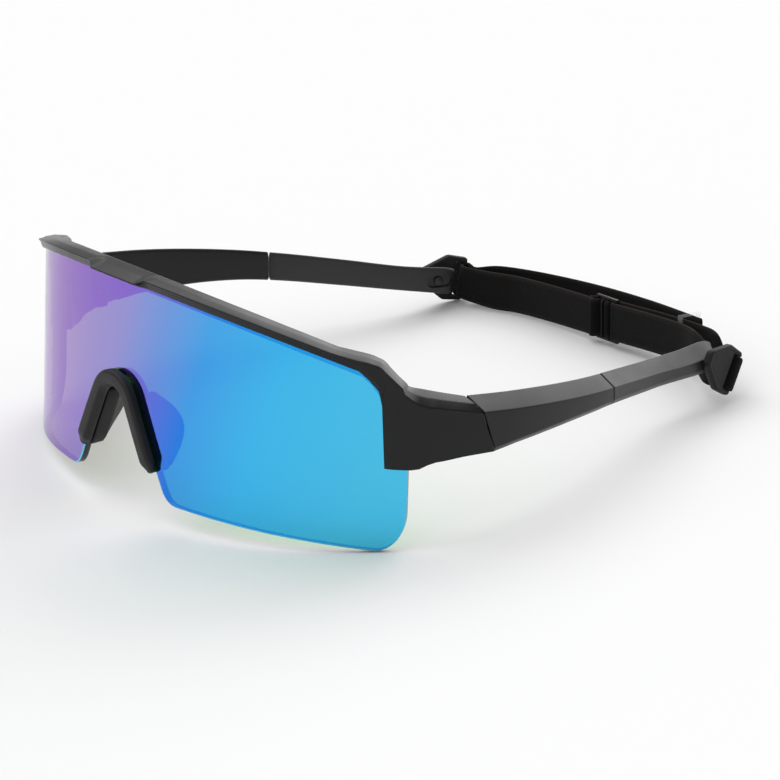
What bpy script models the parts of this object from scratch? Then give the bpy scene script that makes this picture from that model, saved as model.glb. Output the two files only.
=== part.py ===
"""Wraparound sport sunglasses with a one-piece shield lens and an adjustable elastic head strap.

Every length below is in millimetres, and MM turns it into metres when a mesh is made.
The design frame has its origin on the outer lens surface, at the middle of the lens's top edge.
+X is the wearer's left, +Y points back to the wearer's head and +Z is up.
The empty "stance" then tips the whole object, so that it stands on a table: on the two lobes
of the lens and on the two strap connectors.
"""
import math

import bmesh
import bpy
from mathutils import Matrix, Vector

MM = 0.001
GAP = 0.3                  # clearance between pieces that touch

# Shield lens
LENS_RADIUS = 139.6        # plan radius at the middle of the lens
LENS_FLARE = 5.4           # extra wrap at the brow corner
BROW_CORNER = 62.0         # half width at the brow corner
LENS_TILT = 0.047          # the lens surface comes forward as it goes down
LENS_THICK = 1.8
LENS_HALF = 69.8           # half width of the free lower lens
LENS_HIDDEN_HALF = 68.5    # half width of the part that the frame covers
LENS_BOTTOM = -46.1
LOBE_DROP = 2.05           # how much lower the lens is below the brow corner
CORNER_WIDE = 5.0          # outer lower corner, a quarter of an ellipse
CORNER_TALL = 8.5

# Nose cut-out, an arc between two straight sides
NOSE_CENTRE = -28.9        # height of the arc's centre
NOSE_LINE = 7.0            # radius of the bridge's centre line
NOSE_SPREAD = 29.0         # degrees of each side away from upright
NOSE_NOTCH = 0.3           # lens edge, outside the bridge's centre line
NOSE_LEG = 16.4            # length of each straight side

# Front frame
LIP = 1.0                  # plastic in front of the lens
GROOVE = LENS_THICK + 2 * GAP
BROW_DEPTH = 5.2
LUG_THICK = 5.8
LUG_TURN = 20.0            # plan radius where the frame turns back
LUG_END_HEADING = 68.0     # the lug flares outwards all the way to the hinge
LUG_END_SECTION = 93.0     # its cross-section has turned square to the temple by then
SEAM_Y = 40.0              # top of the joint line between lug and temple
SEAM_LEAN = 0.32           # the joint line leans back as it goes down
LUG_BOTTOM = -30.2
LUG_STEP = -27.9

# Hinge
HINGE = Vector((71.2, 37.2, 0.0))
KNUCKLE_RADIUS = 2.3
TONGUE_LOW, TONGUE_HIGH = -24.9, -21.7
INSERT_RADIUS = 1.5        # threaded metal insert in the upper fork
INSERT_LOW, INSERT_HIGH = -21.3, -19.3
SCREW_RADIUS = 0.7
HOLE_RADIUS = 1.0

# Temple: plan line and outline, as (y, x) and (y, z) points joined by smooth curves
TEMPLE_PLAN = ((39.0, 74.5), (50.0, 74.1), (62.0, 72.0), (74.0, 68.4), (84.0, 64.0), (95.0, 58.9), (106.0, 54.2),
               (121.0, 49.8), (130.0, 48.0))
TEMPLE_TOP = ((39.0, -15.9), (56.0, -17.4), (74.0, -19.4), (86.0, -21.0), (98.0, -22.8), (111.0, -24.6),
              (125.0, -25.2))
TEMPLE_LOW = ((39.0, -28.1), (56.0, -26.9), (68.0, -26.6), (80.0, -27.1), (98.0, -29.2), (111.0, -30.7),
              (125.0, -32.2))
TEMPLE_WIDTH = ((39.0, 5.6), (56.0, 5.0), (74.0, 4.2), (92.0, 3.7), (100.0, 3.6), (111.0, 4.2), (125.0, 4.4))
TOP_SLOPE = 2.8            # the top face falls outwards by this much
TIP_RISE = 1.9             # the strap twists the temples: left tip up and right tip down by this much
TEMPLE_SPLIT = 80.5        # joint line between the arm and the tip

# Strap connector, in its own plane: u runs back from the pivot, v runs up
PIVOT_Y = 118.0
PIVOT_Z = -28.4
PLATE_THICK = 1.9
PLATE_HALF = 5.4
PLATE_REAR = 5.6
SLOT_END = 7.2
BAR_END = 8.3
WINDOW_HALF = 4.1
BAR_SHAVE = 1.2            # the bar is this much thinner than the plate, so the strap lies flush
CONNECTOR_DROP = {"left": 32.0, "right": 10.0}   # degrees that each connector hangs at rest

# Strap
STRAP_WIDTH = 8.8
LOOP_WIDTH = 7.6           # the elastic is squeezed where it goes round a bar
STRAP_THICK = 0.8
STRAP_Z = -30.2
STRAP_LEAN = 0.040         # the strap rises to the left by this share of X
SLIDER_X = 1.5

# Stance on a table
STANCE_TILT = 6.4
STANCE_SHIFT = (0.0, -61.877, 50.470)

SIDES = {"left": 1, "right": -1}

COLOURS = {
    "satin_black": ((0.020, 0.020, 0.022), 0.38, 0.0),
    "temple_grey": ((0.045, 0.043, 0.048), 0.42, 0.0),
    "mirror_blue": ((0.10, 0.42, 0.80), 0.06, 0.85),
    "grained_black": ((0.028, 0.027, 0.028), 0.50, 0.0),
    "soft_rubber": ((0.050, 0.047, 0.050), 0.70, 0.0),
    "steel": ((0.40, 0.40, 0.42), 0.30, 1.0),
    "black_elastic": ((0.012, 0.011, 0.011), 0.90, 0.0),
    "clear_plastic": ((0.75, 0.76, 0.78), 0.20, 0.0),
}


def material(name):
    """The named Principled material, made on first use."""
    found = bpy.data.materials.get(name)
    if found:
        return found
    colour, roughness, metallic = COLOURS[name]
    made = bpy.data.materials.new(name)
    made.use_nodes = True
    shader = made.node_tree.nodes["Principled BSDF"]
    shader.inputs["Base Color"].default_value = (*colour, 1.0)
    shader.inputs["Roughness"].default_value = roughness
    shader.inputs["Metallic"].default_value = metallic
    return made


def empty(name, place, parent=None):
    """An empty at a design point, which pieces hang from. Returns it with its design point."""
    made = bpy.data.objects.new(name, None)
    made.empty_display_size = 0.005
    bpy.context.scene.collection.objects.link(made)
    made["place"] = tuple(place)
    made.parent = parent
    base = Vector(parent["place"]) if parent else Vector()
    made.location = (Vector(place) - base) * MM
    return made


def piece(name, bm, finish, holder, sharp=35.0):
    """One closed solid from a bmesh in design millimetres, hung on an empty."""
    bmesh.ops.remove_doubles(bm, verts=bm.verts, dist=0.001)
    bmesh.ops.recalc_face_normals(bm, faces=bm.faces)
    base = Vector(holder["place"])
    bmesh.ops.transform(bm, matrix=Matrix.Scale(MM, 4) @ Matrix.Translation(-base), verts=bm.verts)
    mesh = bpy.data.meshes.new(name)
    bm.to_mesh(mesh)
    bm.free()
    mesh.shade_smooth()
    mesh.set_sharp_from_angle(angle=math.radians(sharp))
    made = bpy.data.objects.new(name, mesh)
    made.data.materials.append(material(finish))
    bpy.context.scene.collection.objects.link(made)
    made.parent = holder
    return made


def carve(target, cutter_bm, operation, holder):
    """Join a shape to a piece, or cut it out, with an exact Boolean that is applied."""
    tool = piece(target.name + "_tool", cutter_bm, "steel", holder)
    bpy.context.view_layer.update()
    step = target.modifiers.new("carve", "BOOLEAN")
    step.operation = operation
    step.solver = "EXACT"
    step.object = tool
    graph = bpy.context.evaluated_depsgraph_get()
    result = bpy.data.meshes.new_from_object(target.evaluated_get(graph))
    target.modifiers.remove(step)
    target.data = result
    result.shade_smooth()
    result.set_sharp_from_angle(angle=math.radians(35.0))
    bpy.data.objects.remove(tool)


def loft(rings, closed=False):
    """A solid through rings of points, with flat ends or closed on itself."""
    bm = bmesh.new()
    rows = [[bm.verts.new(p) for p in ring] for ring in rings]
    count = len(rings[0])
    pairs = list(zip(rows[:-1], rows[1:]))
    if closed:
        pairs.append((rows[-1], rows[0]))
    for first, second in pairs:
        for i in range(count):
            j = (i + 1) % count
            bm.faces.new((first[i], first[j], second[j], second[i]))
    if not closed:
        bm.faces.new(rows[0])
        bm.faces.new(rows[-1])
    return bm


def cylinder(centre, axis, radius, length, sides=24):
    """A cylinder whose middle is at centre."""
    turn = Vector((0, 0, 1)).rotation_difference(Vector(axis)).to_matrix().to_4x4()
    bm = bmesh.new()
    bmesh.ops.create_cone(bm, cap_ends=True, segments=sides, radius1=radius, radius2=radius,
                          depth=length, matrix=Matrix.Translation(centre) @ turn)
    return bm


def block(low, high):
    """A box between two corners."""
    size = Vector(high) - Vector(low)
    middle = (Vector(high) + Vector(low)) / 2
    bm = bmesh.new()
    bmesh.ops.create_cube(bm, size=1.0)
    bmesh.ops.transform(bm, matrix=Matrix.Translation(middle) @ Matrix.Diagonal((*size, 1.0)), verts=bm.verts)
    return bm


def smooth_value(points, at):
    """A smooth curve through (at, value) points: cubic Hermite with averaged slopes."""
    keys = [p[0] for p in points]
    values = [p[1] for p in points]
    slopes = [(values[min(i + 1, len(keys) - 1)] - values[max(i - 1, 0)])
              / (keys[min(i + 1, len(keys) - 1)] - keys[max(i - 1, 0)]) for i in range(len(keys))]
    i = max(0, min(len(keys) - 2, sum(1 for k in keys if k <= at) - 1))
    span = keys[i + 1] - keys[i]
    t = (at - keys[i]) / span
    if t < 0 or t > 1:
        end = 0 if t < 0 else len(keys) - 1
        return values[end] + slopes[end] * (at - keys[end])
    return ((2 * t**3 - 3 * t**2 + 1) * values[i] + (t**3 - 2 * t**2 + t) * span * slopes[i]
            + (3 * t**2 - 2 * t**3) * values[i + 1] + (t**3 - t**2) * span * slopes[i + 1])


def linear_value(points, at):
    """Straight-line interpolation through (at, value) points."""
    for (a, va), (b, vb) in zip(points[:-1], points[1:]):
        if at <= b:
            return va + (vb - va) * max(0.0, (at - a) / (b - a))
    return points[-1][1]


# ---- lens ------------------------------------------------------------------------------------

def lens_y(x, z=0.0):
    """Depth of the outer lens surface."""
    arc = LENS_RADIUS - math.sqrt(LENS_RADIUS**2 - x * x)
    return arc + LENS_FLARE * (x / BROW_CORNER)**4 + LENS_TILT * z


def lens_heading(x):
    """Plan direction of the lens surface, in radians from +X."""
    slope = x / math.sqrt(LENS_RADIUS**2 - x * x) + 4 * LENS_FLARE * x**3 / BROW_CORNER**4
    return math.atan(slope)


def brow(x):
    """Height of the visible top edge of the lens."""
    k = x / BROW_CORNER
    return -6.8 * k**2 - 2.9 * k**4


def notch_top(x):
    """Height of the nose cut-out's edge, or None where x is beside it."""
    radius = NOSE_LINE + NOSE_NOTCH
    lean = math.radians(NOSE_SPREAD)
    x = abs(x)
    turn_x = radius * math.cos(lean)
    if x <= turn_x:
        return NOSE_CENTRE + math.sqrt(radius**2 - x * x)
    return NOSE_CENTRE + radius * math.sin(lean) - (x - turn_x) / math.tan(lean)


def lens_low(x):
    """Height of the lens's lower edge."""
    x = abs(x)
    base = LENS_BOTTOM - LOBE_DROP * (x / BROW_CORNER)**2
    inner_start = 16.4
    inner_end = 21.6
    if x < inner_start:
        return notch_top(x)
    if x < inner_end:
        t = (x - inner_start) / (inner_end - inner_start)
        return notch_top(inner_start) * (1 - t)**3 + base * (1 - (1 - t)**3)
    corner = (x - (LENS_HALF - CORNER_WIDE)) / CORNER_WIDE
    if corner > 0:
        return base + CORNER_TALL * (1 - math.sqrt(max(0.0, 1 - corner**2)))
    return base


def lens_high(x):
    """Height of the lens's upper edge, inside the frame's groove."""
    x = abs(x)
    if x > LENS_HIDDEN_HALF:
        return LUG_BOTTOM - GAP
    return side_value("ceiling", x) - GAP if x > SIDE_START else brow(x) + 0.6


def make_lens(holder):
    """The shield: a curved sheet, built from upright strips."""
    half = [0, 1.6, 3.2, 4.6, 5.6, 6.4, 8, 10, 12, 13.5, 15, 16.4, 17.1, 17.9, 18.8, 20, 21.6]
    half += [25, 28.5, 32, 35.5, 39, 42.5, 46, 49, 52, 55, 57.5, 60, 62, 63.5, 65.2]
    half += [66.4, 67.5, 68.3, 68.5, 68.51, 69.0, 69.4, 69.7, LENS_HALF]
    across = [-x for x in reversed(half[1:])] + half
    bm = bmesh.new()
    rings = []
    for x in across:
        heading = lens_heading(x)
        inward = Vector((-math.sin(heading), math.cos(heading), 0.0)) * LENS_THICK
        top = Vector((x, lens_y(x, lens_high(x)), lens_high(x)))
        low = Vector((x, lens_y(x, lens_low(x)), lens_low(x)))
        rings.append([bm.verts.new(p) for p in (top, low, low + inward, top + inward)])
    for first, second in zip(rings[:-1], rings[1:]):
        for i in range(4):
            j = (i + 1) % 4
            bm.faces.new((first[i], first[j], second[j], second[i]))
    bm.faces.new(rings[0])
    bm.faces.new(rings[-1])
    return piece("shield_lens", bm, "mirror_blue", holder, sharp=30.0)


# ---- front frame -----------------------------------------------------------------------------

# The frame beside the lens, as rows of: place along the lens, cap edge, back edge, lip, rear wall foot,
# groove ceiling. All but the first are heights.
SIDE_START = 59.0
SIDE = (
    (59.0, -6.4, -6.1, -8.55, -10.5, -7.6),
    (62.0, -7.2, -6.7, -9.7, -11.7, -8.6),
    (63.5, -7.5, -7.1, -11.3, -13.2, -9.2),
    (65.2, -8.1, -8.0, -13.7, -16.0, -10.0),
    (65.8, -8.6, -8.7, -17.0, -20.0, -10.7),
    (66.4, -9.4, -9.6, LUG_BOTTOM, LUG_BOTTOM, -11.4),
    (67.5, -10.8, -11.1, LUG_BOTTOM, LUG_BOTTOM, -12.8),
    (68.9, -12.6, -12.8, LUG_BOTTOM, LUG_BOTTOM, -14.5),
)
SIDE_COLUMNS = {"cap": 1, "back": 2, "lip": 3, "foot": 4, "ceiling": 5}
# Along the lug, from the end of the lens to the hinge: share of the way, cap edge, back edge, foot.
LUG = (
    (0.0, -13.9, -13.4, LUG_BOTTOM),
    (0.10, -15.2, -13.7, LUG_BOTTOM),
    (0.20, -16.2, -13.9, -30.0),
    (0.30, -16.7, -14.2, -29.2),
    (0.40, -16.9, -14.5, -28.7),
    (0.52, -17.3, -14.9, -28.5),
    (0.76, -18.0, -15.6, LUG_STEP),
    (1.0, -18.8, -16.0, -27.6),
)


def side_value(column, x):
    """A height of the frame beside the lens."""
    index = SIDE_COLUMNS[column]
    return linear_value([(row[0], row[index]) for row in SIDE], x)


def lug_plan(share):
    """Plan point on the lug's outer face, and the heading that its cross-section is square to."""
    start_x = SIDE[-1][0] + 0.3
    start_heading = lens_heading(start_x)
    end_heading = math.radians(LUG_END_HEADING)
    reach = LIP + GAP
    point = Vector((start_x + reach * math.sin(start_heading), lens_y(start_x) - reach * math.cos(start_heading)))
    turn_length = LUG_TURN * (end_heading - start_heading)
    turned = Vector((LUG_TURN * (math.sin(end_heading) - math.sin(start_heading)),
                     LUG_TURN * (math.cos(start_heading) - math.cos(end_heading))))
    straight = (SEAM_Y - point.y - turned.y) / math.sin(end_heading)
    travel = share * (turn_length + straight)
    section = start_heading + (math.radians(LUG_END_SECTION) - start_heading) * share
    if travel <= turn_length:
        heading = start_heading + travel / LUG_TURN
        moved = Vector((LUG_TURN * (math.sin(heading) - math.sin(start_heading)),
                        LUG_TURN * (math.cos(start_heading) - math.cos(heading))))
        return point + moved, section
    rest = travel - turn_length
    return point + turned + rest * Vector((math.cos(end_heading), math.sin(end_heading))), section


def frame_ring(plan, heading, heights, shape, tilt):
    """One cross-section of the frame, from its cap edge round to the front face."""
    cap, back, lip, foot, ceiling, chamfer = heights
    proud, face, edge, depth, grooved = shape
    rear = LIP + GROOVE
    inner = (rear + 0.8, rear, 2.2, LIP) if not grooved else (rear, rear, LIP, LIP)
    outline = [
        (-proud, cap), (1.9, (cap + back) / 2 + 0.25), (depth - 0.7, back), (depth, back - 0.6),
        (depth, foot), (inner[0], foot), (inner[1], ceiling), (inner[2], ceiling), (inner[3], lip),
        (edge, lip), (face, chamfer), (0.0, cap - 0.45), (-proud, cap - 0.35),
    ]
    inward = Vector((-math.sin(heading), math.cos(heading)))
    ring = []
    for n, z in outline:
        at = plan + inward * n
        ring.append(Vector((at.x, at.y + tilt * LENS_TILT * z, z)))
    return ring


def brow_ring(x):
    """Cross-section in front of the lens. The middle of the brow is raised as a block."""
    heading = lens_heading(x)
    raised = 1.0 - min(1.0, max(0.0, (abs(x) - 8.6) / 2.2))
    reach = LIP + GAP
    plan = Vector((x + reach * math.sin(heading), lens_y(x) - reach * math.cos(heading)))
    if x < SIDE_START:
        top = brow(x)
        heights = (top + 2.0 - 1.1 * raised, top + 2.2, top, top - 2.0, top + 0.9, top + 1.3 - 0.9 * raised)
        shape = (0.3 + 0.9 * raised, 0.1 - 0.5 * raised, 0.55 - 0.5 * raised, BROW_DEPTH, True)
    else:
        row = [side_value(name, x) for name in ("cap", "back", "lip", "foot", "ceiling")]
        upright = x > 66.0
        chamfer = row[0] - 3.2 if upright else row[2] + 1.5
        face = 0.30 if upright and x < 67.0 else 0.05
        edge = 0.55 if x < 66.5 else max(0.05, 0.55 - 0.42 * (x - 66.4))
        heights = (*row, chamfer)
        shape = (0.3, face, edge, BROW_DEPTH + 0.2, True)
    return frame_ring(plan, heading, heights, shape, 1.0)


def lug_ring(share, cap, back, foot):
    """Cross-section behind the end of the lens."""
    plan, heading = lug_plan(share)
    depth = BROW_DEPTH + 0.2 + (LUG_THICK - BROW_DEPTH - 0.2) * share
    heights = (cap, back, foot, foot, foot, cap - 3.2)
    ring = frame_ring(plan, heading, heights, (0.3 * (1 - share), 0.0, 0.0, depth, False), 1.0 - share)
    if share == 1.0:
        ring = [p + Vector((0, SEAM_LEAN * (cap - p.z), 0)) for p in ring]
    return ring


def mirrored(ring):
    """The same ring on the other side."""
    return [Vector((-p.x, p.y, p.z)) for p in ring]


def hinge_shapes(side):
    """The lug's knuckle, the slot for the temple's tongue, and the screw hole."""
    x, y = side * HINGE.x, HINGE.y
    top, low = -17.7, LUG_STEP
    knuckle = cylinder((x, y, (top + low) / 2), (0, 0, 1), KNUCKLE_RADIUS, top - low)
    reach = sorted((x - side * 12.0, x + side * (KNUCKLE_RADIUS + 0.5)))
    slot = block((reach[0], y - KNUCKLE_RADIUS - 0.5, TONGUE_LOW - GAP),
                 (reach[1], y + 9.0, TONGUE_HIGH + GAP))
    hole = cylinder((x, y, low + 4.6), (0, 0, 1), HOLE_RADIUS, 9.6)
    head = cylinder((x, y, low + 0.2), (0, 0, 1), 1.7, 1.8)
    pocket_low, pocket_high = INSERT_LOW - GAP, INSERT_HIGH + GAP
    pocket = cylinder((x, y, (pocket_low + pocket_high) / 2), (0, 0, 1), INSERT_RADIUS + GAP,
                      pocket_high - pocket_low)
    return knuckle, slot, hole, head, pocket


def make_frame(holder):
    """The brow bar with a lug at each end, in one moulding."""
    stations = [0.0, 4.5, 8.6, 10.8, 14, 19, 24, 29, 34, 39, 44, 49, 54, 59, 62, 63.5, 65.2, 65.8, 66.4, 67.5, 68.9]
    half = [brow_ring(x) for x in stations] + [lug_ring(*row) for row in LUG]
    rings = [mirrored(r) for r in reversed(half[1:])] + half
    frame = piece("front_frame", loft(rings), "satin_black", holder)
    for side in SIDES.values():
        knuckle, *cuts = hinge_shapes(side)
        carve(frame, knuckle, "UNION", holder)
        for cut in cuts:
            carve(frame, cut, "DIFFERENCE", holder)
    return frame


# ---- nose bridge -----------------------------------------------------------------------------

def nose_path(s):
    """Centre line of the nose bridge: point in X and Z, and its outward direction. s is in mm from the top."""
    lean = math.radians(NOSE_SPREAD)
    sign = 1 if s >= 0 else -1
    arc = NOSE_LINE * (math.pi / 2 - lean)
    s = abs(s)
    if s <= arc:
        angle = math.pi / 2 - s / NOSE_LINE
        out = Vector((math.cos(angle), math.sin(angle)))
        point = Vector((0, NOSE_CENTRE)) + out * NOSE_LINE
    else:
        out = Vector((math.cos(lean), math.sin(lean)))
        point = Vector((0, NOSE_CENTRE)) + out * NOSE_LINE + Vector((math.sin(lean), -math.cos(lean))) * (s - arc)
    return Vector((sign * point.x, point.y)), Vector((sign * out.x, out.y))


def nose_ring(s, outline):
    """A cross-section of r outward and y back from the lens surface, placed on the nose line."""
    point, out = nose_path(s)
    base = lens_y(point.x, point.y)
    return [Vector((point.x + out.x * r, base + y, point.y + out.y * r)) for r, y in outline]


def nose_arc():
    """Distance from the top of the bridge to the start of its straight sides."""
    return NOSE_LINE * (math.pi / 2 - math.radians(NOSE_SPREAD))


def make_nose_bridge(holder):
    """The hard clip that grips the edge of the lens's nose cut-out."""
    end = nose_arc() + NOSE_LEG
    steps = [-end, -end + 1.0, -end + 3.0, -end + 8, -end + 13] + [-nose_arc() + nose_arc() / 5 * i for i in range(11)]
    steps += [end - 13, end - 8, end - 3.0, end - 1.0, end]
    rings = []
    for s in steps:
        tail = max(0.0, 1.0 - (end - abs(s)) / 3.0)
        width = 1.0 - 0.45 * tail
        open_pad = min(1.0, max(0.0, (abs(s) - 3.0) / 3.5))
        inner = -2.2 + 1.55 * open_pad
        front = -2.3 + 0.9 * tail
        outline = [
            (1.7 * width, front + 0.5), (1.7 * width, -GAP), (0.0, -GAP), (0.0, LENS_THICK + GAP),
            (1.3 * width, LENS_THICK + GAP), (1.3 * width, 3.3), (inner * width, 3.3), (inner * width, -0.4),
            (-2.2 * width - 0.01, -0.45), (-2.2 * width - 0.01, front + 1.0), (-1.3 * width, front), (1.1 * width, front),
        ]
        rings.append(nose_ring(s, outline))
    return piece("nose_bridge", loft(rings), "grained_black", holder)


def make_nose_pads(holder):
    """Two soft pads on the inner side of the bridge's legs, flared out towards the face."""
    arc = nose_arc()
    first, last = 6.8, arc + NOSE_LEG - 0.6
    for name, side in SIDES.items():
        rings = []
        for i in range(9):
            s = first + (last - first) * i / 8
            swell = math.sin(math.pi * min(1.0, (i + 0.6) / 8.8))
            rear = 3.8 + 5.2 * swell
            flare = 0.9 + 2.0 * swell
            inner = -2.3 + (0.5 if i in (0, 8) else 0.0)
            outline = [
                (-0.95, -0.05), (-0.95, 3.6), (0.6, 3.6), (flare, rear - 0.6), (flare - 0.5, rear),
                (flare - 1.3, rear - 0.2), (inner + 0.2, 3.3), (inner, 0.0),
            ]
            rings.append(nose_ring(side * s, outline))
        piece("nose_pad_" + name, loft(rings), "soft_rubber", holder)


# ---- temples ---------------------------------------------------------------------------------

def temple_frame(y):
    """Plan point on the temple's centre line, and its outward direction, on the left side."""
    step = 0.5
    here = Vector((smooth_value(TEMPLE_PLAN, y), y))
    ahead = Vector((smooth_value(TEMPLE_PLAN, y + step), y + step))
    along = (ahead - here).normalized()
    return here, Vector((along.y, -along.x)), along


def temple_rise(y, side):
    """How far the strap's pull has lifted the temple here, or lowered it on the right."""
    return side * TIP_RISE * ((y - SEAM_Y) / (PIVOT_Y - SEAM_Y))**3 if y > SEAM_Y else 0.0


def temple_ring(y, side, lean=0.0, shrink=0.0):
    """Cross-section of the temple: a top face that falls outwards, and a bevel along the lower outer edge."""
    here, out, _ = temple_frame(y)
    half = smooth_value(TEMPLE_WIDTH, y) / 2 - shrink
    top = smooth_value(TEMPLE_TOP, y) - shrink + temple_rise(y, side)
    low = smooth_value(TEMPLE_LOW, y) + shrink + temple_rise(y, side)
    outline = [
        (-half, top - 0.5), (-half + 0.5, top), (half - 0.25, top - TOP_SLOPE + 0.2), (half, top - TOP_SLOPE),
        (half, low + 1.3), (half - 1.2, low), (-half + 0.5, low), (-half, low + 0.5),
    ]
    ring = []
    for n, z in outline:
        at = here + out * n
        ring.append(Vector((side * at.x, at.y + lean * (top - z), z)))
    return ring


def make_temples(hinges):
    """For each side, the arm that the hinge carries and the tip that plugs onto it."""
    for name, side in SIDES.items():
        holder = hinges[name]
        start = SEAM_Y + 0.2 - SEAM_LEAN * TOP_SLOPE
        rings = [temple_ring(start, side, SEAM_LEAN)]
        rings += [temple_ring(y, side) for y in (49, 54, 60, 66, 72, 78, TEMPLE_SPLIT - 0.15)]
        arm = piece("temple_arm_" + name, loft(rings), "satin_black", holder)
        x, y = side * HINGE.x, HINGE.y
        middle = (TONGUE_LOW + TONGUE_HIGH) / 2
        carve(arm, cylinder((x, y, middle), (0, 0, 1), KNUCKLE_RADIUS, TONGUE_HIGH - TONGUE_LOW), "UNION", holder)
        neck = sorted((x - side * 0.8, x + side * 2.4))
        carve(arm, block((neck[0], y, TONGUE_LOW), (neck[1], y + 8.0, TONGUE_HIGH)), "UNION", holder)
        carve(arm, cylinder((x, y, middle), (0, 0, 1), HOLE_RADIUS, 8.0), "DIFFERENCE", holder)
        tang = [temple_tang(y, side, 0.0) for y in (TEMPLE_SPLIT - 1.0, TEMPLE_SPLIT + 3, TEMPLE_SPLIT + 7)]
        carve(arm, loft(tang), "UNION", holder)
        make_tip(name, side, holder)


def temple_tang(y, side, extra):
    """Cross-section of the tongue that joins arm and tip."""
    here, out, _ = temple_frame(y)
    middle = (smooth_value(TEMPLE_TOP, y) + smooth_value(TEMPLE_LOW, y)) / 2 - 0.6 + temple_rise(y, side)
    half, tall = 0.8 + extra, 1.5 + extra
    corners = [(-half, middle + tall), (half, middle + tall), (half, middle - tall), (-half, middle - tall)]
    return [Vector((side * (here.x + out.x * n), here.y + out.y * n, z)) for n, z in corners]


def connector_axes(side):
    """Pivot point, outward axis and rearward axis of a strap connector."""
    here, out, along = temple_frame(PIVOT_Y)
    height = PIVOT_Z + temple_rise(PIVOT_Y, side)
    return (Vector((side * here.x, here.y, height)), Vector((side * out.x, out.y, 0)),
            Vector((side * along.x, along.y, 0)))


def make_tip(name, side, holder):
    """The rear of the temple: hollow for the arm's tang, round at the end, with a recess for the pivot screw."""
    rows = (TEMPLE_SPLIT + 0.15, 88, 93, 98, 103, 108, 112, 115, 118)
    rings = [temple_ring(y, side) for y in rows]
    rings += [temple_ring(120.6, side, -0.10, 0.25), temple_ring(122.2, side, -0.22, 0.9)]
    tip = piece("temple_tip_" + name, loft(rings), "temple_grey", holder)
    pocket = [temple_tang(y, side, GAP) for y in (TEMPLE_SPLIT - 1.0, TEMPLE_SPLIT + 3, TEMPLE_SPLIT + 7.4)]
    carve(tip, loft(pocket), "DIFFERENCE", holder)
    pivot, out, along = connector_axes(side)
    half = smooth_value(TEMPLE_WIDTH, PIVOT_Y) / 2
    carve(tip, cylinder(pivot, out, HOLE_RADIUS, 12.0), "DIFFERENCE", holder)
    carve(tip, oval(pivot - out * (half + 0.4), out, along, 3.1, 1.45, 2.4), "DIFFERENCE", holder)


def oval(centre, axis, along, half_long, half_wide, deep, arc_steps=6):
    """A straight-sided slot shape with round ends."""
    across = axis.cross(along)
    points = []
    for end in (1, -1):
        for i in range(arc_steps + 1):
            angle = math.pi * i / arc_steps - math.pi / 2
            u = end * (half_long - half_wide + half_wide * math.cos(angle))
            v = end * half_wide * math.sin(angle)
            points.append(centre + along * u + across * v)
    return loft([[p - axis * deep / 2 for p in points], [p + axis * deep / 2 for p in points]])


def make_hinge_insert(name, side, holder):
    """The threaded insert that the hinge screw turns into."""
    centre = (side * HINGE.x, HINGE.y, (INSERT_LOW + INSERT_HIGH) / 2)
    tall = INSERT_HIGH - INSERT_LOW
    insert = piece("hinge_insert_" + name, cylinder(centre, (0, 0, 1), INSERT_RADIUS, tall), "steel", holder)
    carve(insert, cylinder(centre, (0, 0, 1), HOLE_RADIUS, tall + 1.0), "DIFFERENCE", holder)


def make_hinge_screw(name, side, holder):
    """The upright screw of the hinge, put in from below."""
    x, y = side * HINGE.x, HINGE.y
    shank = cylinder((x, y, LUG_STEP + 4.7), (0, 0, 1), SCREW_RADIUS, 8.4)
    screw = piece("hinge_screw_" + name, shank, "steel", holder)
    carve(screw, cylinder((x, y, LUG_STEP + 0.55), (0, 0, 1), 1.35, 0.8), "UNION", holder)
    carve(screw, block((x - 1.0, y - 0.16, LUG_STEP - 0.2), (x + 1.0, y + 0.16, LUG_STEP + 0.4)), "DIFFERENCE", holder)
    return screw


# ---- strap connectors ------------------------------------------------------------------------

def make_connector(name, side, holder):
    """A rounded triangular plate on the outside of the temple tip, with a bar that the strap goes round."""
    pivot, out, along = connector_axes(side)
    drop = math.radians(CONNECTOR_DROP[name])
    back = along * math.cos(drop) - Vector((0, 0, 1)) * math.sin(drop)
    up = Vector((0, 0, 1)) * math.cos(drop) + along * math.sin(drop)
    near = smooth_value(TEMPLE_WIDTH, PIVOT_Y) / 2 + GAP
    outline = plate_outline()
    layers = []
    for n, inset in ((near, 0.25), (near + 0.3, 0.0), (near + PLATE_THICK - 0.45, 0.0), (near + PLATE_THICK, 0.4)):
        ring = []
        for u, v in outline:
            middle = Vector((2.4, 0.0))
            toward = (middle - Vector((u, v))).normalized() * inset
            ring.append(pivot + back * (u + toward.x) + up * (v + toward.y) + out * n)
        layers.append(ring)
    plate = piece("strap_connector_" + name, loft(layers), "soft_rubber", holder)
    window = plate_window(SLOT_END)
    carve(plate, prism(window, pivot, back, up, out, near - 1, near + 4), "DIFFERENCE", holder)
    shave = plate_window(BAR_END + 2)
    carve(plate, prism(shave, pivot, back, up, out, near + BAR_SHAVE, near + 4), "DIFFERENCE", holder)
    carve(plate, cylinder(pivot + out * near, out, HOLE_RADIUS, 2.6), "DIFFERENCE", holder)
    make_connector_screw(name, holder, pivot, out, near)
    return back, up


def plate_window(end):
    """A rectangle in the connector's plane, from the rear of the plate to the given distance."""
    return [(PLATE_REAR, WINDOW_HALF), (end, WINDOW_HALF), (end, -WINDOW_HALF), (PLATE_REAR, -WINDOW_HALF)]


def prism(outline, pivot, back, up, out, low, high):
    """A flat shape in the connector's plane, made solid between two distances from the pivot."""
    rings = [[pivot + back * u + up * v + out * n for u, v in outline] for n in (low, high)]
    return loft(rings)


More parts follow.
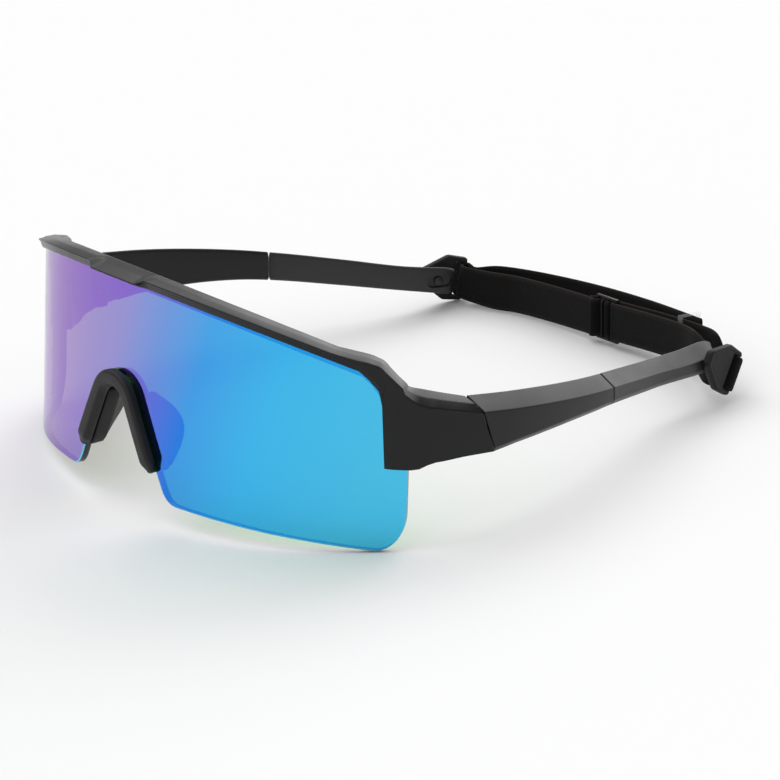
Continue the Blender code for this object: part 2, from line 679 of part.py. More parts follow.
def plate_outline():
    """The plate's rounded triangle, apex forward, with the strap bar at its rear."""
    corners = [(-2.7, 1.6, 1.5), (3.4, PLATE_HALF, 1.6), (BAR_END, PLATE_HALF - 0.3, 0.7),
               (BAR_END, -PLATE_HALF + 0.3, 0.7), (3.4, -PLATE_HALF, 1.6), (-2.7, -1.6, 1.5)]
    points = []
    count = len(corners)
    for i, (u, v, radius) in enumerate(corners):
        here = Vector((u, v))
        before = (Vector(corners[i - 1][:2]) - here).normalized()
        after = (Vector(corners[(i + 1) % count][:2]) - here).normalized()
        half_angle = before.angle(after) / 2
        reach = radius / math.tan(half_angle)
        centre = here + (before + after).normalized() * radius / math.sin(half_angle)
        first, last = here + before * reach - centre, here + after * reach - centre
        for k in range(4):
            t = k / 3
            points.append(centre + (first * (1 - t) + last * t).normalized() * radius)
    return [(p.x, p.y) for p in points]


def make_connector_screw(name, holder, pivot, out, near):
    """The pivot screw: its head sits in the recess on the inside of the temple tip."""
    temple_half = near - GAP
    head_low = -temple_half + 0.25
    shank = cylinder(pivot + out * (near + 1.0 + head_low + 0.3) / 2, out, SCREW_RADIUS, near + 1.0 - head_low - 0.3)
    screw = piece("connector_screw_" + name, shank, "steel", holder)
    carve(screw, cylinder(pivot + out * (head_low + 0.25), out, 1.1, 0.5), "UNION", holder)
    return screw


# ---- strap -----------------------------------------------------------------------------------

def ribbon(stations, thick=STRAP_THICK):
    """A flat band through stations of (point, across), where across is a vector as long as the band is wide."""
    rings = []
    count = len(stations)
    for i, (point, across) in enumerate(stations):
        ahead = stations[min(i + 1, count - 1)][0] - stations[max(i - 1, 0)][0]
        normal = ahead.cross(across).normalized() * thick / 2
        side = across / 2
        rings.append([point + side + normal, point + side - normal, point - side - normal, point - side + normal])
    return loft(rings)


def curve_through(points, per_span=3):
    """Catmull-Rom points through a list of (position, across) stations."""
    result = []
    count = len(points)
    for i in range(count - 1):
        quad = [points[max(i - 1, 0)], points[i], points[i + 1], points[min(i + 2, count - 1)]]
        for k in range(per_span):
            t = k / per_span
            pair = []
            for part in (0, 1):
                a, b, c, d = (q[part] for q in quad)
                pair.append(0.5 * (2 * b + (c - a) * t + (2 * a - 5 * b + 4 * c - d) * t**2
                                   + (3 * b - 3 * c + d - a) * t**3))
            result.append((pair[0], pair[1]))
    result.append(points[-1])
    return result


def loop_points(side, back, up):
    """Stations that carry the strap through a connector's slot from inside and round its bar."""
    pivot, out, _ = connector_axes(side)
    near = smooth_value(TEMPLE_WIDTH, PIVOT_Y) / 2 + GAP
    bar_front, bar_back = near - 0.05, near + BAR_SHAVE
    slot_u = (PLATE_REAR + SLOT_END) / 2
    rear_u = BAR_END + GAP + STRAP_THICK / 2
    reach = GAP + STRAP_THICK / 2
    places = [(slot_u, bar_front - 1.0), (slot_u, bar_front + 0.3), (slot_u + 0.15, bar_back + 0.3),
              (slot_u + 0.75, bar_back + reach + 0.1), (rear_u - 0.7, bar_back + reach), (rear_u, bar_back - 0.1),
              (rear_u, bar_front - 0.4), (rear_u + 0.5, bar_front - 3.0)]
    places.insert(0, (slot_u, bar_front - 4.0))
    return [(pivot + back * u + out * n, up * LOOP_WIDTH) for u, n in places]


def strap_z(x):
    """Height of the strap's middle."""
    return STRAP_Z + STRAP_LEAN * x


def make_straps(holder, axes):
    """The two lengths of elastic. They meet at the slider, and the long one's tail lies behind both."""
    across = Vector((0, 0, STRAP_WIDTH))

    def at(x, y, lift=0.0):
        return Vector((x, y, strap_z(x) + lift)), across

    left, right = loop_points(1, *axes["left"]), loop_points(-1, *axes["right"])
    inner_y, middle_y = 128.2, 130.55
    short = [at(SLIDER_X + 3.6, inner_y), at(18, 128.5), at(31, 127.9), at(39, 125.6)]
    short += left
    short += [at(43.5, 128.0), at(34, middle_y), at(20, middle_y + 0.5), at(SLIDER_X + 3.8, middle_y)]
    piece("strap_short", ribbon(curve_through(short)), "black_elastic", holder)
    long = [at(SLIDER_X - 3.6, inner_y), at(-18, 128.5), at(-31, 127.9), at(-39, 125.9)]
    long += right
    long += [at(-42, 130.6, 0.2), at(-28, 133.4, 0.5), at(-8, 134.6, 0.8), at(12, 134.3, 0.8), at(31.5, 132.9, 0.5)]
    piece("strap_long", ribbon(curve_through(long)), "black_elastic", holder)


def make_slider(holder):
    """The three-bar slider between the two lengths of strap."""
    x, y, z = SLIDER_X, 129.35, strap_z(SLIDER_X)
    slider = piece("strap_slider", block((x - 3.9, y - 0.45, z - 5.2), (x + 3.9, y + 0.45, z + 5.2)),
                   "satin_black", holder)
    for sign in (1, -1):
        low, high = sorted((x + sign * 0.7, x + sign * 2.9))
        carve(slider, block((low, y - 2, z - 4.7), (high, y + 2, z + 4.7)), "DIFFERENCE", holder)
    return slider


def make_keeper(holder):
    """The small clear ring that holds the strap's tail."""
    x = 28.5
    z = strap_z(x) + 0.4
    low_y, high_y = 129.6, 134.2
    outer = block((x - 0.6, low_y - 0.6, z - 5.3), (x + 0.6, high_y + 0.6, z + 5.3))
    keeper = piece("tail_keeper", outer, "clear_plastic", holder)
    carve(keeper, block((x - 2, low_y, z - 4.8), (x + 2, high_y, z + 4.8)), "DIFFERENCE", holder)
    return keeper


# ---- assembly --------------------------------------------------------------------------------

def clear_scene():
    """Remove every object of the start-up scene."""
    for old in list(bpy.data.objects):
        bpy.data.objects.remove(old)


def build():
    """Make every piece, then stand the whole object on its lens and connectors."""
    clear_scene()
    stance = empty("stance", (0, 0, 0))
    make_lens(stance)
    make_frame(stance)
    make_nose_bridge(stance)
    make_nose_pads(stance)
    hinges, axes = {}, {}
    for name, side in SIDES.items():
        hinges[name] = empty("hinge_" + name, (side * HINGE.x, HINGE.y, 0), stance)
        make_hinge_insert(name, side, stance)
        make_hinge_screw(name, side, stance)
    make_temples(hinges)
    for name, side in SIDES.items():
        pivot = connector_axes(side)[0]
        holder = empty("connector_pivot_" + name, pivot, hinges[name])
        axes[name] = make_connector(name, side, holder)
    make_straps(stance, axes)
    make_slider(stance)
    make_keeper(stance)
    stance.rotation_euler = (-math.radians(STANCE_TILT), 0, 0)
    stance.location = Vector(STANCE_SHIFT) * MM
    bpy.context.view_layer.update()


build()
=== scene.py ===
"""Looks for the wraparound sport sunglasses: fine surfaces, materials, camera and light.

Design lengths are in millimetres, in the CAD's own design frame: the origin is on the lens's outer surface
at the middle of its top edge, +X is the wearer's left, +Y points back and +Z up. world() stands them on
the table.
"""
import math

import bmesh
import bpy
from mathutils import Matrix, Vector


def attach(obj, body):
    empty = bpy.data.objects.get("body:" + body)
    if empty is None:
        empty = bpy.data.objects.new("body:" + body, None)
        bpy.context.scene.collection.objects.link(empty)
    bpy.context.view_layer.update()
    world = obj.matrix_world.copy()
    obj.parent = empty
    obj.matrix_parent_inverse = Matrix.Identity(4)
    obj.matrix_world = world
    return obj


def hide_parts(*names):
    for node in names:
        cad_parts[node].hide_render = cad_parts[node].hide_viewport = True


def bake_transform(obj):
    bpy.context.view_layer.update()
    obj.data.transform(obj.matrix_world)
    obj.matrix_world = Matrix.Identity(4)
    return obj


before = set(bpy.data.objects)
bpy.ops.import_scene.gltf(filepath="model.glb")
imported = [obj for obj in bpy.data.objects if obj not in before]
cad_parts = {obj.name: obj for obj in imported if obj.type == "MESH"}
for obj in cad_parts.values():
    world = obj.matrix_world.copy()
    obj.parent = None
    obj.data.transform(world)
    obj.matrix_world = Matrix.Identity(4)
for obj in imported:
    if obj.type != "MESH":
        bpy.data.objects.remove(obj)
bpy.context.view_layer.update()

MM = 0.001
GAP = 0.3

# The CAD's own sizes
LENS_RADIUS, LENS_FLARE, BROW_CORNER, LENS_TILT = 139.6, 5.4, 62.0, 0.047
LENS_THICK, LENS_HALF, LENS_HIDDEN_HALF = 1.8, 69.8, 68.5
LENS_BOTTOM, LOBE_DROP, CORNER_WIDE, CORNER_TALL = -46.1, 2.05, 5.0, 8.5
NOSE_CENTRE, NOSE_LINE, NOSE_SPREAD, NOSE_NOTCH, NOSE_LEG = -28.9, 7.0, 29.0, 0.3, 16.4
LIP, GROOVE, BROW_DEPTH = 1.0, LENS_THICK + 2 * GAP, 5.2
LUG_THICK, LUG_TURN, LUG_END_HEADING, LUG_END_SECTION = 5.8, 20.0, 68.0, 93.0
SEAM_Y, SEAM_LEAN, LUG_BOTTOM, LUG_STEP = 40.0, 0.32, -30.2, -27.9
HINGE = Vector((71.2, 37.2, 0.0))
KNUCKLE_RADIUS, KNUCKLE_TOP, TONGUE_LOW, TONGUE_HIGH = 2.3, -17.7, -24.9, -21.7
TEMPLE_PLAN = ((39.0, 74.5), (50.0, 74.1), (62.0, 72.0), (74.0, 68.4), (84.0, 64.0), (95.0, 58.9),
               (106.0, 54.2), (121.0, 49.8), (130.0, 48.0))
TEMPLE_TOP = ((39.0, -15.9), (56.0, -17.4), (74.0, -19.4), (86.0, -21.0), (98.0, -22.8), (111.0, -24.6),
              (125.0, -25.2))
TEMPLE_LOW = ((39.0, -28.1), (56.0, -26.9), (68.0, -26.6), (80.0, -27.1), (98.0, -29.2), (111.0, -30.7),
              (125.0, -32.2))
TEMPLE_WIDTH = ((39.0, 5.6), (56.0, 5.0), (74.0, 4.2), (92.0, 3.7), (100.0, 3.6), (111.0, 4.2), (125.0, 4.4))
TOP_SLOPE, TIP_RISE, TEMPLE_SPLIT = 2.8, 1.9, 80.5
PIVOT_Y, PIVOT_Z = 118.0, -28.4
PLATE_THICK, PLATE_HALF, PLATE_REAR = 1.9, 5.4, 5.6
SLOT_END, BAR_END, WINDOW_HALF, BAR_SHAVE = 7.2, 8.3, 4.1, 1.2
CONNECTOR_DROP = {"left": 32.0, "right": 10.0}
STRAP_WIDTH, LOOP_WIDTH, STRAP_THICK = 8.8, 7.6, 0.8
STRAP_Z, STRAP_LEAN = -30.2, 0.040
SLIDER_X, SLIDER_Y, STRAP_INNER_Y, STRAP_OUTER_Y = 1.5, 129.35, 128.2, 130.55
STANCE_TILT, STANCE_SHIFT = 6.4, Vector((0.0, -61.877, 50.470))
SIDES = {"left": 1, "right": -1}

STANCE = Matrix.Translation(STANCE_SHIFT * MM) @ Matrix.Rotation(-math.radians(STANCE_TILT), 4, "X")


# ---- materials -------------------------------------------------------------------------------

def start_material(name, colour, roughness, metallic=0.0, specular=0.5):
    """A Principled material. Returns it with its nodes, links and shader."""
    made = bpy.data.materials.new(name)
    made.use_nodes = True
    nodes, links = made.node_tree.nodes, made.node_tree.links
    shader = nodes["Principled BSDF"]
    shader.inputs["Base Color"].default_value = (*colour, 1.0)
    shader.inputs["Roughness"].default_value = roughness
    shader.inputs["Metallic"].default_value = metallic
    shader.inputs["Specular IOR Level"].default_value = specular
    return made, nodes, links, shader


def noise(nodes, links, scale, detail=3.0, roughness=0.5, stretch=None):
    """Noise in object space, in cycles per metre. stretch scales it along each axis."""
    place = nodes.new("ShaderNodeTexCoord").outputs["Object"]
    if stretch:
        mapping = nodes.new("ShaderNodeMapping")
        mapping.inputs["Scale"].default_value = stretch
        links.new(place, mapping.inputs["Vector"])
        place = mapping.outputs["Vector"]
    made = nodes.new("ShaderNodeTexNoise")
    made.inputs["Scale"].default_value = scale
    made.inputs["Detail"].default_value = detail
    made.inputs["Roughness"].default_value = roughness
    links.new(place, made.inputs["Vector"])
    return made.outputs["Fac"]


def ramp(nodes, links, value, stops):
    """A colour ramp over (place, colour) stops."""
    made = nodes.new("ShaderNodeValToRGB")
    band = made.color_ramp
    while len(band.elements) < len(stops):
        band.elements.new(0.5)
    for element, (place, colour) in zip(band.elements, stops):
        element.position = place
        element.color = (*colour, 1.0) if len(colour) == 3 else colour
    links.new(value, made.inputs["Fac"])
    return made.outputs["Color"]


def grey(value):
    """A neutral colour."""
    return (value, value, value)


def bump(nodes, links, shader, height, distance, strength=1.0):
    """Bump from a height value, with its distance in metres."""
    made = nodes.new("ShaderNodeBump")
    made.inputs["Distance"].default_value = distance
    made.inputs["Strength"].default_value = strength
    links.new(height, made.inputs["Height"])
    links.new(made.outputs["Normal"], shader.inputs["Normal"])


def maths(nodes, links, operation, *values):
    """A maths node over numbers and sockets."""
    made = nodes.new("ShaderNodeMath")
    made.operation = operation
    for socket, value in zip(made.inputs, values):
        if isinstance(value, float):
            socket.default_value = value
        else:
            links.new(value, socket)
    return made.outputs[0]


def share_between(nodes, links, value, low, high):
    """0 where the value is low or under, 1 where it is high or over."""
    made = nodes.new("ShaderNodeMapRange")
    made.inputs["From Min"].default_value = low
    made.inputs["From Max"].default_value = high
    links.new(value, made.inputs["Value"])
    return made.outputs["Result"]


def moulded(name, dark, light, roughness, grain, grain_depth, specular):
    """Moulded plastic: a fine grain, a slow change in tone and patches that are a little glossier."""
    made, nodes, links, shader = start_material(name, dark, roughness[0], 0.0, specular)
    slow = noise(nodes, links, 45.0, 4.0, 0.6)
    links.new(ramp(nodes, links, slow, [(0.35, dark), (0.70, light)]), shader.inputs["Base Color"])
    patch = noise(nodes, links, 90.0, 5.0, 0.65)
    links.new(ramp(nodes, links, patch, [(0.38, grey(roughness[0])), (0.66, grey(roughness[1]))]),
              shader.inputs["Roughness"])
    bump(nodes, links, shader, noise(nodes, links, grain, 2.0, 0.6), grain_depth, 0.6)
    return made


def across_lens(nodes, links):
    """A value that runs from 0 at the lens's right end to 1 at its left end, further left towards the top."""
    lean, level, reach = 0.35, 0.030, 0.070
    split = nodes.new("ShaderNodeSeparateXYZ")
    links.new(nodes.new("ShaderNodeTexCoord").outputs["Object"], split.inputs["Vector"])
    rise = maths(nodes, links, "MULTIPLY_ADD", split.outputs["Z"], -lean, lean * level)
    total = maths(nodes, links, "ADD", split.outputs["X"], rise)
    return share_between(nodes, links, total, -reach, reach)


def lens_mirror():
    """The lens's outer face: a thin metal film whose colour runs from lilac to cyan across the shield."""
    made, nodes, links, shader = start_material("lens_mirror", (0.1, 0.4, 0.8), 0.04, 1.0)
    stops = [(0.00, (0.46, 0.29, 0.62)), (0.26, (0.37, 0.19, 0.66)), (0.48, (0.30, 0.17, 0.76)),
             (0.58, (0.16, 0.19, 0.86)), (0.68, (0.03, 0.26, 0.96)), (0.82, (0.02, 0.39, 1.00)),
             (1.00, (0.04, 0.41, 0.93))]
    links.new(ramp(nodes, links, across_lens(nodes, links), stops), shader.inputs["Base Color"])
    shader.inputs["Alpha"].default_value = 0.78
    return made


def lens_inner():
    """The lens's inner face: clear, and tinted amber to green as seen against the light."""
    made, nodes, links, shader = start_material("lens_tint", (0.2, 0.9, 0.2), 0.0)
    stops = [(0.00, (0.22, 0.20, 0.06)), (0.30, (0.20, 0.26, 0.03)), (0.55, (0.05, 0.60, 0.04)),
             (1.00, (0.04, 0.85, 0.05))]
    links.new(ramp(nodes, links, across_lens(nodes, links), stops), shader.inputs["Base Color"])
    shader.inputs["Transmission Weight"].default_value = 1.0
    shader.inputs["IOR"].default_value = 1.0
    return made


def lens_edge():
    """The cut edge of the lens: dark, with fine polishing marks."""
    made, nodes, links, shader = start_material("lens_edge", (0.010, 0.014, 0.020), 0.22)
    streaks = noise(nodes, links, 900.0, 3.0, 0.6, (1.0, 0.15, 1.0))
    links.new(ramp(nodes, links, streaks, [(0.3, grey(0.16)), (0.7, grey(0.34))]), shader.inputs["Roughness"])
    links.new(ramp(nodes, links, streaks, [(0.3, (0.008, 0.011, 0.016)), (0.7, (0.016, 0.024, 0.034))]),
              shader.inputs["Base Color"])
    return made


def lens_rim_and_highlight():
    """The polished chamfer round the lens's free edge, which lights up: its bright cyan is partly the
    coating's colour and partly a painted highlight.
    """
    # Bright cyan base colour: the coating's colour with a painted highlight in it.
    made, nodes, links, shader = start_material("lens_rim_and_highlight", (0.10, 0.62, 0.90), 0.12, 0.6)
    patch = noise(nodes, links, 160.0, 3.0)
    links.new(ramp(nodes, links, patch, [(0.3, (0.06, 0.55, 0.86)), (0.7, (0.16, 0.70, 0.94))]),
              shader.inputs["Base Color"])
    return made


def webbing(name):
    """Woven elastic: ribs along the band, crossed by fine picks, with painted shade in the weave's hollows
    and a brown tinge at the edges.
    """
    rib_pitch, pick_pitch, fuzz_start, fuzz_end = 0.55, 0.62, 3.3, 4.5     # in mm, as the UV map
    made, nodes, links, shader = start_material(name, (0.006, 0.0055, 0.0055), 0.9, 0.0, 0.08)
    shader.inputs["Sheen Weight"].default_value = 0.03
    shader.inputs["Sheen Roughness"].default_value = 0.6
    uv = nodes.new("ShaderNodeUVMap")
    uv.uv_map = "strap"
    split = nodes.new("ShaderNodeSeparateXYZ")
    links.new(uv.outputs["UV"], split.inputs["Vector"])
    waves = []
    for axis, pitch in (("X", rib_pitch), ("Y", pick_pitch)):
        phase = maths(nodes, links, "MULTIPLY", split.outputs[axis], 2 * math.pi / pitch)
        waves.append(maths(nodes, links, "SINE", phase))
    height = share_between(nodes, links, maths(nodes, links, "MULTIPLY", *waves), -1.0, 1.0)
    bump(nodes, links, shader, height, 0.00010, 0.8)
    edge = maths(nodes, links, "ABSOLUTE", split.outputs["Y"])
    # Painted shade: the colour follows the weave's height, darker in its hollows and lighter on its raised
    # crossings.
    base = ramp(nodes, links, height, [(0.2, (0.0035, 0.0033, 0.0035)), (0.8, (0.0085, 0.0080, 0.0082))])
    fuzz = nodes.new("ShaderNodeMixRGB")
    fuzz.inputs["Color2"].default_value = (0.022, 0.017, 0.015, 1.0)
    links.new(share_between(nodes, links, edge, fuzz_start, fuzz_end), fuzz.inputs["Fac"])
    links.new(base, fuzz.inputs["Color1"])
    links.new(fuzz.outputs[0], shader.inputs["Base Color"])
    return made


def turned_steel():
    """Zinc-plated steel with turning marks."""
    made, nodes, links, shader = start_material("turned_steel", (0.42, 0.42, 0.44), 0.3, 1.0)
    marks = noise(nodes, links, 3000.0, 2.0, 0.5, (1.0, 1.0, 0.1))
    links.new(ramp(nodes, links, marks, [(0.3, grey(0.22)), (0.7, grey(0.42))]), shader.inputs["Roughness"])
    links.new(ramp(nodes, links, marks, [(0.3, (0.34, 0.34, 0.36)), (0.7, (0.50, 0.50, 0.52))]),
              shader.inputs["Base Color"])
    return made


def clear():
    """Clear moulded plastic, a little milky."""
    made, nodes, links, shader = start_material("clear_plastic", (0.80, 0.81, 0.82), 0.15)
    haze = noise(nodes, links, 700.0, 3.0)
    links.new(ramp(nodes, links, haze, [(0.3, (0.72, 0.73, 0.75)), (0.7, (0.86, 0.87, 0.88))]),
              shader.inputs["Base Color"])
    shader.inputs["Alpha"].default_value = 0.11
    return made


# Name, darkest and lightest colour, roughness range, grain per metre, its depth in metres, specular level
MOULDED = {
    "frame": ("frame_satin", (0.0045, 0.0045, 0.0050), (0.0065, 0.0065, 0.0072),
              (0.26, 0.36), 2600.0, 0.000012, 0.28),
    "arm": ("arm_satin", (0.0060, 0.0058, 0.0066), (0.0095, 0.0090, 0.0102),
            (0.32, 0.42), 2600.0, 0.000015, 0.32),
    "tip": ("tip_satin", (0.018, 0.0165, 0.0185), (0.027, 0.0250, 0.0275),
            (0.40, 0.50), 3000.0, 0.00003, 0.45),
    "bridge": ("bridge_grain", (0.0105, 0.0093, 0.0093), (0.017, 0.0152, 0.0150),
               (0.42, 0.55), 3400.0, 0.00005, 0.3),
    "rubber": ("soft_rubber", (0.010, 0.0098, 0.0103), (0.016, 0.0155, 0.0165),
               (0.50, 0.64), 2400.0, 0.00003, 0.25),
    "slider": ("slider_black", (0.0045, 0.0045, 0.0050), (0.0080, 0.0080, 0.0085),
               (0.34, 0.46), 2600.0, 0.00001, 0.25),
    "blackened": ("blackened_steel", (0.010, 0.010, 0.011), (0.022, 0.022, 0.023),
                  (0.28, 0.40), 3000.0, 0.00001, 0.4),
}
MATERIALS = {finish: moulded(*values) for finish, values in MOULDED.items()}
MATERIALS.update(mirror=lens_mirror(), smoke=lens_inner(), edge=lens_edge(), rim=lens_rim_and_highlight(),
                 elastic=webbing("woven_elastic"), steel=turned_steel(), clear=clear())


# ---- mesh helpers ----------------------------------------------------------------------------

def new_piece(name, bm, finishes, body, replaced=(), sharp=40.0):
    """A piece from a bmesh in design millimetres, with its materials, body and replaced nodes."""
    bmesh.ops.recalc_face_normals(bm, faces=bm.faces)
    bmesh.ops.transform(bm, matrix=STANCE @ Matrix.Scale(MM, 4), verts=bm.verts)
    mesh = bpy.data.meshes.new(name)
    bm.to_mesh(mesh)
    bm.free()
    mesh.shade_smooth()
    mesh.set_sharp_from_angle(angle=math.radians(sharp))
    made = bpy.data.objects.new(name, mesh)
    bpy.context.scene.collection.objects.link(made)
    for finish in finishes:
        mesh.materials.append(MATERIALS[finish])
    if body:
        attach(made, body)
    if replaced:
        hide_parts(*replaced)
    return made


def rounded(outline, radius, steps=3):
    """A closed outline with each corner rounded, always with the same number of points."""
    def toward(here, other):
        way = other - here
        return here + way.normalized() * min(radius, 0.42 * way.length) if way.length > 1e-6 else here

    count = len(outline)
    points = []
    for i, (u, v) in enumerate(outline):
        here = Vector((u, v))
        first, last = toward(here, Vector(outline[i - 1])), toward(here, Vector(outline[(i + 1) % count]))
        for k in range(steps + 1):
            t = k / steps
            points.append(first * (1 - t)**2 + here * 2 * t * (1 - t) + last * t * t)
    return [(p.x, p.y) for p in points]


def loft(rings, caps=True):
    """A surface through rings of points, with flat ends."""
    bm = bmesh.new()
    rows = [[bm.verts.new(p) for p in ring] for ring in rings]
    count = len(rings[0])
    for first, second in zip(rows[:-1], rows[1:]):
        for i in range(count):
            j = (i + 1) % count
            bm.faces.new((first[i], first[j], second[j], second[i]))
    if caps:
        bm.faces.new(rows[0])
        bm.faces.new(rows[-1])
    return bm


def soft_ends(rings, inset=0.22):
    """Rings with a small chamfer added at both ends."""
    result = list(rings)
    for end, beside in ((0, 1), (-1, -2)):
        ring, other = rings[end], rings[beside]
        middle = sum(ring, Vector()) / len(ring)
        drawn = []
        for p, q in zip(ring, other):
            inward = middle - p
            drawn.append(p + inward.normalized() * min(inset, inward.length * 0.3))
        back = [p + (q - p).normalized() * min(inset, (q - p).length * 0.4) for p, q in zip(ring, other)]
        if end == 0:
            result = [drawn, back] + result[1:]
        else:
            result = result[:-1] + [back, drawn]
    return result


def cylinder(centre, axis, radius, length, sides=32):
    """A cylinder whose middle is at centre."""
    turn = Vector((0, 0, 1)).rotation_difference(Vector(axis)).to_matrix().to_4x4()
    bm = bmesh.new()
    bmesh.ops.create_cone(bm, cap_ends=True, segments=sides, radius1=radius, radius2=radius,
                          depth=length, matrix=Matrix.Translation(centre) @ turn)
    return bm


def block(low, high):
    """A box between two corners."""
    size, middle = Vector(high) - Vector(low), (Vector(high) + Vector(low)) / 2
    bm = bmesh.new()
    bmesh.ops.create_cube(bm, size=1.0)
    bmesh.ops.transform(bm, matrix=Matrix.Translation(middle) @ Matrix.Diagonal((*size, 1.0)), verts=bm.verts)
    return bm


def carve(bm, cutter, operation):
    """Join a shape to a bmesh, or cut it out. Both are in design millimetres, and both are used up."""
    pair = []
    for shape in (bm, cutter):
        bmesh.ops.recalc_face_normals(shape, faces=shape.faces)
        mesh = bpy.data.meshes.new("carve")
        shape.to_mesh(mesh)
        shape.free()
        made = bpy.data.objects.new("carve", mesh)
        bpy.context.scene.collection.objects.link(made)
        pair.append(made)
    step = pair[0].modifiers.new("carve", "BOOLEAN")
    step.operation, step.solver, step.object = operation, "EXACT", pair[1]
    graph = bpy.context.evaluated_depsgraph_get()
    result = bmesh.new()
    result.from_object(pair[0], graph)
    for made in pair:
        mesh = made.data
        bpy.data.objects.remove(made)
        bpy.data.meshes.remove(mesh)
    return result


def smooth_value(points, at):
    """A smooth curve through (at, value) points: cubic Hermite with averaged slopes."""
    keys = [p[0] for p in points]
    values = [p[1] for p in points]
    slopes = [(values[min(i + 1, len(keys) - 1)] - values[max(i - 1, 0)])
              / (keys[min(i + 1, len(keys) - 1)] - keys[max(i - 1, 0)]) for i in range(len(keys))]
    i = max(0, min(len(keys) - 2, sum(1 for k in keys if k <= at) - 1))
    span = keys[i + 1] - keys[i]
    t = (at - keys[i]) / span
    if t < 0 or t > 1:
        end = 0 if t < 0 else len(keys) - 1
        return values[end] + slopes[end] * (at - keys[end])
    return ((2 * t**3 - 3 * t**2 + 1) * values[i] + (t**3 - 2 * t**2 + t) * span * slopes[i]
            + (3 * t**2 - 2 * t**3) * values[i + 1] + (t**3 - t**2) * span * slopes[i + 1])


def linear_value(points, at):
    """Straight-line interpolation through (at, value) points."""
    for (a, va), (b, vb) in zip(points[:-1], points[1:]):
        if at <= b:
            return va + (vb - va) * max(0.0, (at - a) / (b - a))
    return points[-1][1]


def spread(start, end, step):
    """Evenly spaced values from start to end, about a step apart."""
    count = max(1, round(abs(end - start) / step))
    return [start + (end - start) * i / count for i in range(count + 1)]


# ---- lens ------------------------------------------------------------------------------------

def lens_y(x, z=0.0):
    """Depth of the lens's outer surface: an arc that bends back further at its ends, and leans back."""
    arc = LENS_RADIUS - math.sqrt(LENS_RADIUS**2 - x * x)
    return arc + LENS_FLARE * (x / BROW_CORNER)**4 + LENS_TILT * z


def lens_heading(x):
    """Angle in plan between the lens's surface and the X axis."""
    return math.atan(x / math.sqrt(LENS_RADIUS**2 - x * x) + 4 * LENS_FLARE * x**3 / BROW_CORNER**4)


def brow(x):
    """Height of the brow's lower front edge."""
    k = x / BROW_CORNER
    return -6.8 * k**2 - 2.9 * k**4


def notch_top(x):
    """Height of the nose cut-out's edge."""
    radius, lean, x = NOSE_LINE + NOSE_NOTCH, math.radians(NOSE_SPREAD), abs(x)
    turn_x = radius * math.cos(lean)
    if x <= turn_x:
        return NOSE_CENTRE + math.sqrt(radius**2 - x * x)
    return NOSE_CENTRE + radius * math.sin(lean) - (x - turn_x) / math.tan(lean)


def lens_low(x):
    """Height of the lens's lower edge."""
    x = abs(x)
    base = LENS_BOTTOM - LOBE_DROP * (x / BROW_CORNER)**2
    inner_start, inner_end = 16.4, 21.6
    if x < inner_start:
        return notch_top(x)
    if x < inner_end:
        t = (x - inner_start) / (inner_end - inner_start)
        return notch_top(inner_start) * (1 - t)**3 + base * (1 - (1 - t)**3)
    corner = (x - (LENS_HALF - CORNER_WIDE)) / CORNER_WIDE
    if corner > 0:
        return base + CORNER_TALL * (1 - math.sqrt(max(0.0, 1 - corner**2)))
    return base


def lens_high(x):
    """Height of the lens's upper edge, inside the frame's groove."""
    x = abs(x)
    if x > LENS_HIDDEN_HALF:
        return LUG_BOTTOM - GAP
    return side_value("ceiling", x) - GAP if x > SIDE_START else brow(x) + 0.6


def make_lens():
    """The shield: mirrored outside, smoke inside, with a polished chamfer along its free edge."""
    # Stations are closer together where the outline turns
    half = spread(0, 5.6, 0.7) + spread(6.0, 16.4, 0.65) + spread(16.7, 21.6, 0.35) + spread(22.8, 62.0, 1.4)
    half += spread(62.6, 64.8, 0.55) + [65.2, 65.6, 66.0, 66.4, 66.8, 67.2, 67.5, 67.9, 68.3, 68.5]
    half += [68.51, 68.8, 69.05, 69.25, 69.4, 69.55, 69.65, 69.72, 69.77, LENS_HALF]
    across = [-x for x in reversed(half[1:])] + half
    chamfer, parts = 0.30, 5
    bm = bmesh.new()
    rings = []
    for x in across:
        heading = lens_heading(x)
        inward = Vector((-math.sin(heading), math.cos(heading), 0.0))
        high, low = lens_high(x), lens_low(x)
        low = min(low, high - 0.05)
        cut = min(chamfer, 0.4 * (high - low))
        ring = [(high, LENS_THICK), (high, 0.0)]
        ring += [(high + (low + cut - high) * k / parts, 0.0) for k in range(1, parts + 1)]
        ring += [(low, cut), (low, LENS_THICK - cut * 0.5)]
        ring += [(low + cut * 0.5, LENS_THICK)]
        rings.append([bm.verts.new(Vector((x, lens_y(x, z), z)) + inward * n) for z, n in ring])
    count = len(rings[0])
    finish = [2] + [0] * parts + [3, 2, 2, 1]
    for first, second in zip(rings[:-1], rings[1:]):
        for i in range(count):
            j = (i + 1) % count
            bm.faces.new((first[i], first[j], second[j], second[i])).material_index = finish[i]
    for ring in (rings[0], rings[-1]):
        bm.faces.new(ring).material_index = 2
    bmesh.ops.remove_doubles(bm, verts=bm.verts, dist=0.002)
    finishes = ("mirror", "smoke", "edge", "rim")
    new_piece("lens_shell", bm, finishes, "front", ("shield_lens",), 30.0)


# ---- front frame -----------------------------------------------------------------------------

BLOCK_HALF, BLOCK_RAMP = 8.6, 2.2        # the raised block in the middle of the brow
SIDE_START = 59.0
